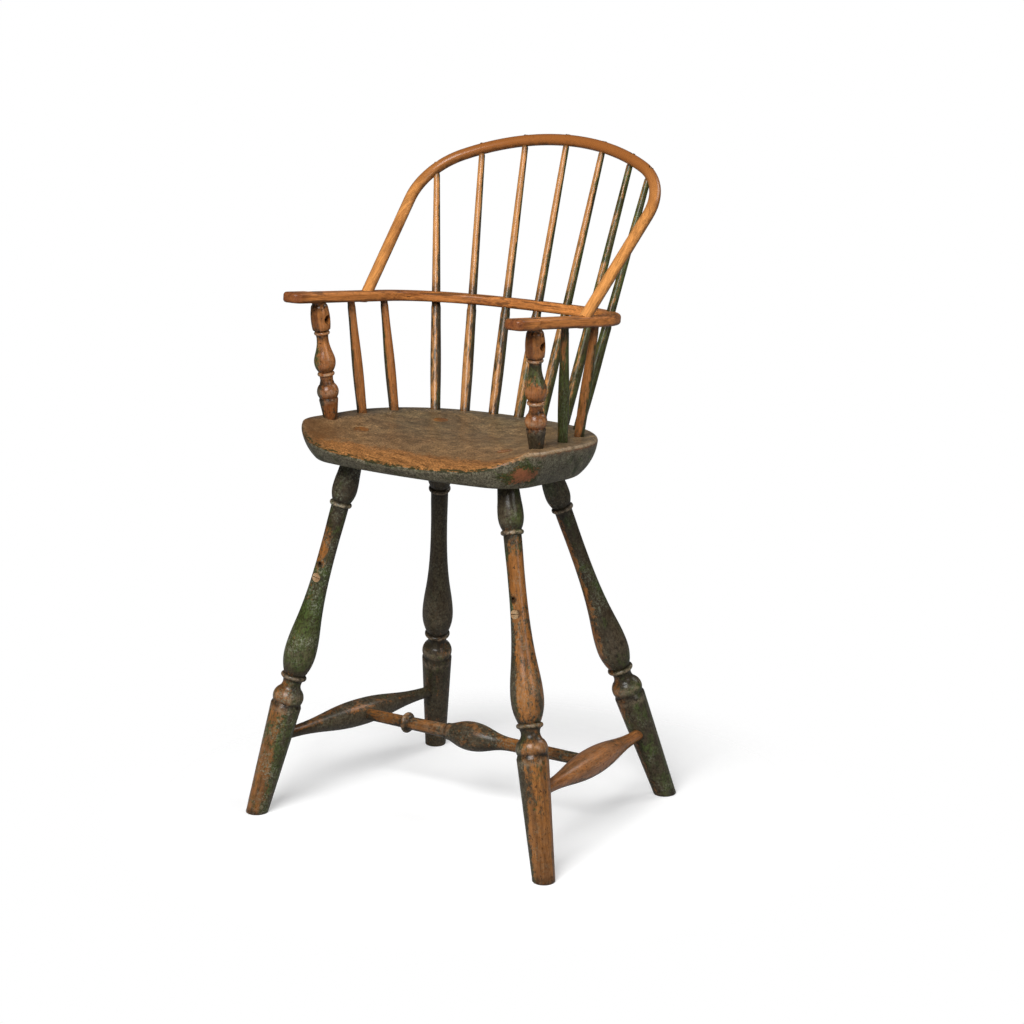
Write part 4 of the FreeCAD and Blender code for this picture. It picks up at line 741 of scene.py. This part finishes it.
class HIGHCHAIR_OT_stretchers(bpy.types.Operator):
    """Dress the side stretchers and the medial stretcher"""

    bl_idname = "high_chair.stretchers"
    bl_label = "Stretchers"

    # Measures in millimetres at the ends that the tables start from
    in_leg, in_stretcher = -6.0, -5.0

    def execute(self, context):
        finish = context.scene.high_chair_finish
        common = {
            "pale": finish.russet, "deep": finish.umber, "darker_side": (0.0, -0.1, -1.0),
            "grime": ((-6, 0.7), (22, 0.5), (50, 0.12), (310, 0.12), (340, 0.5), (375, 0.7)),
            "rub": ((0, 0.0), (170, 0.14), (340, 0.0)), "green": ((0, 0.15), (370, 0.25)),
            "shine": (0.34, 0.58),
        }
        turned_material("side_stretcher_left", BACK, self.in_leg, {
            **common, "cover": ((0, 0.42), (90, 0.46), (160, 0.62), (370, 0.7)), "side_darkness": 0.50,
            "scuffs": 0.35, "seed": 2.2, "turn": (-0.6, 0.2),
        })
        turned_material("side_stretcher_right", BACK, self.in_leg, {
            **common, "cover": ((0, 0.2), (180, 0.22), (370, 0.28)), "side_darkness": 0.5,
            "scuffs": 0.3, "seed": 5.2, "pale": finish.chestnut,
        })
        turned_material("medial_stretcher", ACROSS, self.in_stretcher, {
            **common, "side_darkness": 0.22, "scuffs": 0.55, "seed": 6.1, "green": ((0, 0.1), (410, 0.2)),
            "cover": ((0, 0.5), (120, 0.42), (155, 0.45), (170, 0.62), (235, 0.6), (275, 0.3), (410, 0.5)),
            "rub": ((80, 0.0), (87, 0.7), (93, 0.0), (162, 0.4), (170, 0.05), (205, 0.15), (240, 0.0)),
            "grime": ((0, 0.7), (25, 0.3), (76, 0.25), (82, 0.8), (87, 0.05), (92, 0.85), (100, 0.2),
                      (150, 0.25), (159, 0.8), (164, 0.3), (172, 0.35), (230, 0.3), (300, 0.2),
                      (380, 0.3), (410, 0.7)),
        })
        return {"FINISHED"}


POST_GRIME = (
    (-36, 0.4), (0, 0.55), (8, 0.3), (24, 0.2), (28, 0.95), (31, 0.4), (38, 0.04), (46, 0.4), (51, 0.9),
    (58, 0.4), (63, 0.0), (67, 0.75), (75, 0.12), (106, 0.15), (117, 0.85), (121, 0.0), (124.5, 0.95),
    (131, 0.3), (152, 0.35), (160, 0.75), (166, 0.8),
)
POST_RUB = (
    (20, 0.0), (26, 0.4), (29, 0.0), (38, 0.4), (45, 0.0), (59, 0.0), (62.5, 0.8), (66, 0.0), (80, 0.1),
    (118, 0.0), (121, 0.7), (124, 0.0),
)


class HIGHCHAIR_OT_arm_posts(bpy.types.Operator):
    """Dress the two turned arm posts"""

    bl_idname = "high_chair.arm_posts"
    bl_label = "Arm Posts"

    # Measure at the foot end, in millimetres from the seat's top
    foot = -36.0

    def execute(self, context):
        finish = context.scene.high_chair_finish
        common = {
            "pale": finish.chestnut, "deep": finish.mahogany, "rough": 0.5, "shine": (0.26, 0.48),
            "grime": POST_GRIME, "rub": POST_RUB, "scuffs": 0.2,
        }
        turned_material("arm_post_left", UP, self.foot, {
            **common, "seed": 2.6, "darker_side": LEFTWARD, "side_darkness": 0.45,
            "cover": ((0, 0.4), (28, 0.25), (60, 0.1), (80, 0.1), (100, 0.22), (115, 0.1), (165, 0.05)),
            "green": ((0, 0.2), (60, 0.3), (95, 0.9), (120, 0.4)),
        })
        turned_material("arm_post_right", UP, self.foot, {
            **common, "seed": 8.3, "darker_side": RIGHTWARD, "side_darkness": 0.1,
            "cover": ((0, 0.8), (24, 0.72), (31, 0.2), (60, 0.25), (80, 0.24), (96, 0.68), (114, 0.7),
                      (126, 0.1)),
            "green": ((0, 0.2), (60, 0.2), (95, 0.5), (120, 0.3)),
        })
        return {"FINISHED"}


class HIGHCHAIR_OT_arm_rail(bpy.types.Operator):
    """Dress the bent arm rail and the hand blocks"""

    bl_idname = "high_chair.arm_rail"
    bl_label = "Arm Rail and Hands"

    def execute(self, context):
        finish = context.scene.high_chair_finish
        bend = {
            "Origin": (0.0, -0.194, 0.7477), "Across": ACROSS, "Up": (0.0, 0.9912, -0.1323),
            "Reach": 0.17,
        }
        # Painted shade: grime on the faces turned down and back, under the arm; the dirt value is the even
        # grime.
        look = {
            "pale": finish.auburn, "deep": finish.mahogany, "streaks": 0.55, "lines": 0.35, "specks": 0.5,
            "darker_side": (0, 0.3, -0.95), "dirt": 0.06, "dashes": 0.6, "shine": (0.34, 0.54), "coat": 0.25,
            "handled": (0.158, 0.196),
        }
        for node in ("arm_rail", "hand_block_left", "hand_block_right"):
            bent_material(node, bend, look)
        return {"FINISHED"}


class HIGHCHAIR_OT_bow(bpy.types.Operator):
    """Dress the bow"""

    bl_idname = "high_chair.bow"
    bl_label = "Bow"

    def execute(self, context):
        finish = context.scene.high_chair_finish
        bend = {
            "Origin": (0.0, -0.02, 0.7245), "Across": (0.99974, 0.0174, 0.0146),
            "Up": (-0.0227, 0.7647, 0.6440), "Reach": 0.12,
        }
        # Painted shade: grime on the faces turned down and to the right, and a darker crown; the dirt value
        # is the even grime.
        look = {
            "pale": finish.honey, "deep": finish.amber, "streaks": 0.4, "lines": 0.2, "specks": 0.3,
            "darker_side": (0.55, 0.0, -0.83), "dirt": 0.03, "dashes": 0.22, "shine": (0.2, 0.38),
            "coat": 0.45, "crown": (0.02, 0.2),
        }
        bent_material("bow", bend, look)
        return {"FINISHED"}


class HIGHCHAIR_OT_spindles(bpy.types.Operator):
    """Dress the long and short spindles"""

    bl_idname = "high_chair.spindles"
    bl_label = "Spindles"

    # Measure at the foot end, in millimetres from the seat's top, and what it and the bow take up
    foot, held = -32.0, 40.0
    # Paint on the long spindles below and above the arm rail, from left to right
    lower_cover = (0.44, 0.40, 0.46, 0.48, 0.58, 0.66, 0.70)
    upper_cover = (-0.10, -0.16, -0.12, 0.08, 0.30, 0.50, 0.54)

    def execute(self, context):
        finish = context.scene.high_chair_finish
        common = {
            "pale": finish.straw, "deep": finish.amber, "streaks": 0.4, "shine": (0.28, 0.5), "scuffs": 0.3,
            "rough": 0.6, "specks": 0.4, "wear": 0.22,
        }
        covers = zip(LONG_SPINDLES, self.lower_cover, self.upper_cover)
        for number, (node, lower, upper) in enumerate(covers, 1):
            more = lower - upper
            top = lathe_axis(node, UP)[2] * 1000.0 - self.held
            # The extra paint on the right side of the long spindles is partly painted shade, where their
            # right sides turn from the light.
            turned_material(node, UP, self.foot, {
                **common, "seed": 1.7 * number, "darker_side": RIGHTWARD, "side_darkness": 0.75, "bias": upper,
                "green": ((0, 0.1 + 0.09 * number), (300, 0.3 + 0.08 * number)),
                "cover": ((0, more), (170, more), (230, 0.6 * more), (300, 0.1), (top, 0.0)),
                "grime": ((-32, 0.6), (0, 0.6), (14, 0.2), (132, 0.15), (148, 0.6), (174, 0.6), (190, 0.15),
                          (top - 24, 0.05), (top - 12, 0.5), (top - 5, 0.9), (top + 8, 0.9)),
            })
        # Darker side, paint on that side, paint all round and share of green
        shorts = {
            "short_spindle_front_left": (LEFTWARD, 0.6, 0.14, 0.2),
            "short_spindle_rear_left": (LEFTWARD, 0.7, 0.14, 0.4),
            "short_spindle_front_right": (RIGHTWARD, 0.2, 0.64, 0.8),
            "short_spindle_rear_right": (RIGHTWARD, 0.4, 0.34, 0.6),
        }
        for number, (node, (darker_side, side_darkness, cover, green)) in enumerate(shorts.items(), 1):
            turned_material(node, UP, self.foot, {
                **common, "pale": finish.chestnut, "seed": 2.9 * number, "darker_side": darker_side,
                "side_darkness": side_darkness, "green": ((0, green), (165, green)),
                "cover": ((0, cover + 0.08), (90, cover), (165, max(cover - 0.22, 0.0))),
                "grime": ((-32, 0.6), (0, 0.6), (14, 0.2), (135, 0.2), (150, 0.55), (165, 0.8)),
            })
        return {"FINISHED"}


class HIGHCHAIR_OT_end_grain(bpy.types.Operator):
    """Dress the wedges and the sawn footrest pegs"""

    bl_idname = "high_chair.end_grain"
    bl_label = "Wedges and Pegs"

    def execute(self, context):
        finish = context.scene.high_chair_finish
        for node in END_GRAIN:
            material, board, shader = new_material(f"{node}_finish")
            grain = board.group("Turned Grain", {"Foot": (0, 0, 0), "Direction": BACK, "Stretch": 0.3})
            wood = board.group("Aged Wood", {
                "Grain": grain["Grain"], "Pale": rgba(finish.tan), "Deep": rgba(finish.russet),
                "Streaks": 0.5,
            })
            dirty = board.group("Grime", {
                "Position": grain["Position"], "Color": wood["Color"], "Dirt": rgba(finish.grime),
                "Amount": 0.12 if node == "footrest_pegs" else 0.5,
            })
            finish_surface(board, shader, dirty["Color"], wood["Fibre"], (0.5, 0.75), finish.relief)
            dress(node, material)
        return {"FINISHED"}


class HIGHCHAIR_OT_stage(bpy.types.Operator):
    """Set the camera, the light and the floor"""

    bl_idname = "high_chair.stage"
    bl_label = "Stage"

    # Name, place, target, size and share of the key light's power
    lights = (
        ("key_light", (0.62, -2.6, 2.6), (0.0, 0.0, 0.45), 1.8, 1.0),
        ("side_light", (3.0, -0.7, 1.5), (0.0, 0.0, 0.5), 1.2, 0.12),
        ("back_light", (1.5, 2.4, 2.9), (0.0, 0.0, 0.5), 1.6, 0.22),
    )
    floor_half = 6.0
    # The floor's shade for the light it throws back and for the camera
    floor_shades = (0.38, 0.82)
    glow_strength, glow_share = 2.8, 0.13
    fade_start = 0.3

    def execute(self, context):
        stage = context.scene.high_chair_stage
        context.scene.view_settings.view_transform = "Standard"
        self.place_camera(context.scene, stage)
        for name, place, target, size, share in self.lights:
            self.hang_light(name, place, target, size, share * stage.key)
        self.lay_floor(stage)
        self.light_world(context.scene, stage)
        return {"FINISHED"}

    @staticmethod
    def place_camera(scene, stage):
        """Stand the camera where it sees the chair from the front right."""
        camera = bpy.data.objects.new("camera", bpy.data.cameras.new("camera"))
        scene.collection.objects.link(camera)
        camera.data.sensor_width = 36.0
        camera.data.lens = stage.lens
        eye, target = Vector(stage.eye), Vector(stage.target)
        camera.location = eye
        camera.rotation_euler = (target - eye).to_track_quat("-Z", "Y").to_euler()
        scene.camera = camera

    @staticmethod
    def hang_light(name, place, target, size, power):
        """Hang a square soft light that faces a point."""
        data = bpy.data.lights.new(name, "AREA")
        data.shape = "SQUARE"
        data.size = size
        data.energy = power
        light = bpy.data.objects.new(name, data)
        bpy.context.scene.collection.objects.link(light)
        light.location = place
        light.rotation_euler = (Vector(target) - Vector(place)).to_track_quat("-Z", "Y").to_euler()

    def lay_floor(self, stage):
        """Lay the pale floor, which glows a little and fades into the backdrop away from the chair."""
        mesh = bpy.data.meshes.new("floor")
        half = self.floor_half
        corners = [(-half, -half, 0), (half, -half, 0), (half, half, 0), (-half, half, 0)]
        mesh.from_pydata(corners, [], [(0, 1, 2, 3)])
        floor = bpy.data.objects.new("floor", mesh)
        bpy.context.scene.collection.objects.link(floor)
        material, board, shader = new_material("floor_finish")
        shader.inputs["Roughness"].default_value = 0.9
        shader.inputs["Specular IOR Level"].default_value = 0.0
        seen = board.add("ShaderNodeLightPath").outputs["Is Camera Ray"]
        board.feed(shader.inputs["Base Color"], board.grey(board.rise(seen, 0.0, 1.0, *self.floor_shades)))
        glow = board.add("ShaderNodeEmission", {"Strength": self.glow_strength})
        lit = board.add("ShaderNodeMixShader", {0: board.product(seen, self.glow_share)})
        board.feed(lit.inputs[1], shader.outputs[0])
        board.feed(lit.inputs[2], glow.outputs[0])
        position = board.add("ShaderNodeTexCoord").outputs["Object"]
        distance = board.vector("LENGTH", position, output="Value")
        fade = board.rise(distance, self.fade_start, stage.floor_reach)
        clear = board.add("ShaderNodeBsdfTransparent")
        blend = board.add("ShaderNodeMixShader", {0: board.product(fade, seen)})
        board.feed(blend.inputs[1], lit.outputs[0])
        board.feed(blend.inputs[2], clear.outputs[0])
        output = material.node_tree.nodes["Material Output"]
        board.feed(output.inputs["Surface"], blend.outputs[0])
        mesh.materials.append(material)

    @staticmethod
    def light_world(scene, stage):
        """Light the chair evenly and show the camera a white backdrop."""
        world = bpy.data.worlds.new("studio")
        world.use_nodes = True
        scene.world = world
        board = Board(world.node_tree)
        background = world.node_tree.nodes["Background"]
        background.inputs["Color"].default_value = WHITE
        path = board.add("ShaderNodeLightPath")
        shown = board.math("MAXIMUM", path.outputs["Is Camera Ray"], path.outputs["Is Transmission Ray"])
        strength = board.total(board.product(shown, 1.0 - stage.fill), stage.fill)
        board.feed(background.inputs["Strength"], strength)


class HIGHCHAIR_PT_panel(bpy.types.Panel):
    """The chair's finishes and stage in the sidebar"""

    bl_idname = "HIGHCHAIR_PT_panel"
    bl_label = "High Chair"
    bl_space_type = "VIEW_3D"
    bl_region_type = "UI"
    bl_category = "High Chair"

    def draw(self, context):
        for operator in OPERATORS:
            self.layout.operator(operator.bl_idname)


OPERATORS = (
    HIGHCHAIR_OT_effects, HIGHCHAIR_OT_seat, HIGHCHAIR_OT_legs, HIGHCHAIR_OT_stretchers,
    HIGHCHAIR_OT_arm_posts, HIGHCHAIR_OT_arm_rail, HIGHCHAIR_OT_bow, HIGHCHAIR_OT_spindles,
    HIGHCHAIR_OT_end_grain, HIGHCHAIR_OT_stage,
)
CLASSES = (HIGHCHAIR_PG_finish, HIGHCHAIR_PG_stage, *OPERATORS, HIGHCHAIR_PT_panel)


def register():
    """Register the classes and their settings."""
    for item in CLASSES:
        bpy.utils.register_class(item)
    bpy.types.Scene.high_chair_finish = bpy.props.PointerProperty(type=HIGHCHAIR_PG_finish)
    bpy.types.Scene.high_chair_stage = bpy.props.PointerProperty(type=HIGHCHAIR_PG_stage)


def unregister():
    """Remove the settings and the classes."""
    del bpy.types.Scene.high_chair_stage
    del bpy.types.Scene.high_chair_finish
    for item in reversed(CLASSES):
        bpy.utils.unregister_class(item)


def main():
    """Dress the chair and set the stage."""
    register()
    bpy.ops.high_chair.effects()
    bpy.ops.high_chair.seat()
    bpy.ops.high_chair.legs()
    bpy.ops.high_chair.stretchers()
    bpy.ops.high_chair.arm_posts()
    bpy.ops.high_chair.arm_rail()
    bpy.ops.high_chair.bow()
    bpy.ops.high_chair.spindles()
    bpy.ops.high_chair.end_grain()
    bpy.ops.high_chair.stage()


if __name__ == "__main__":
    main()
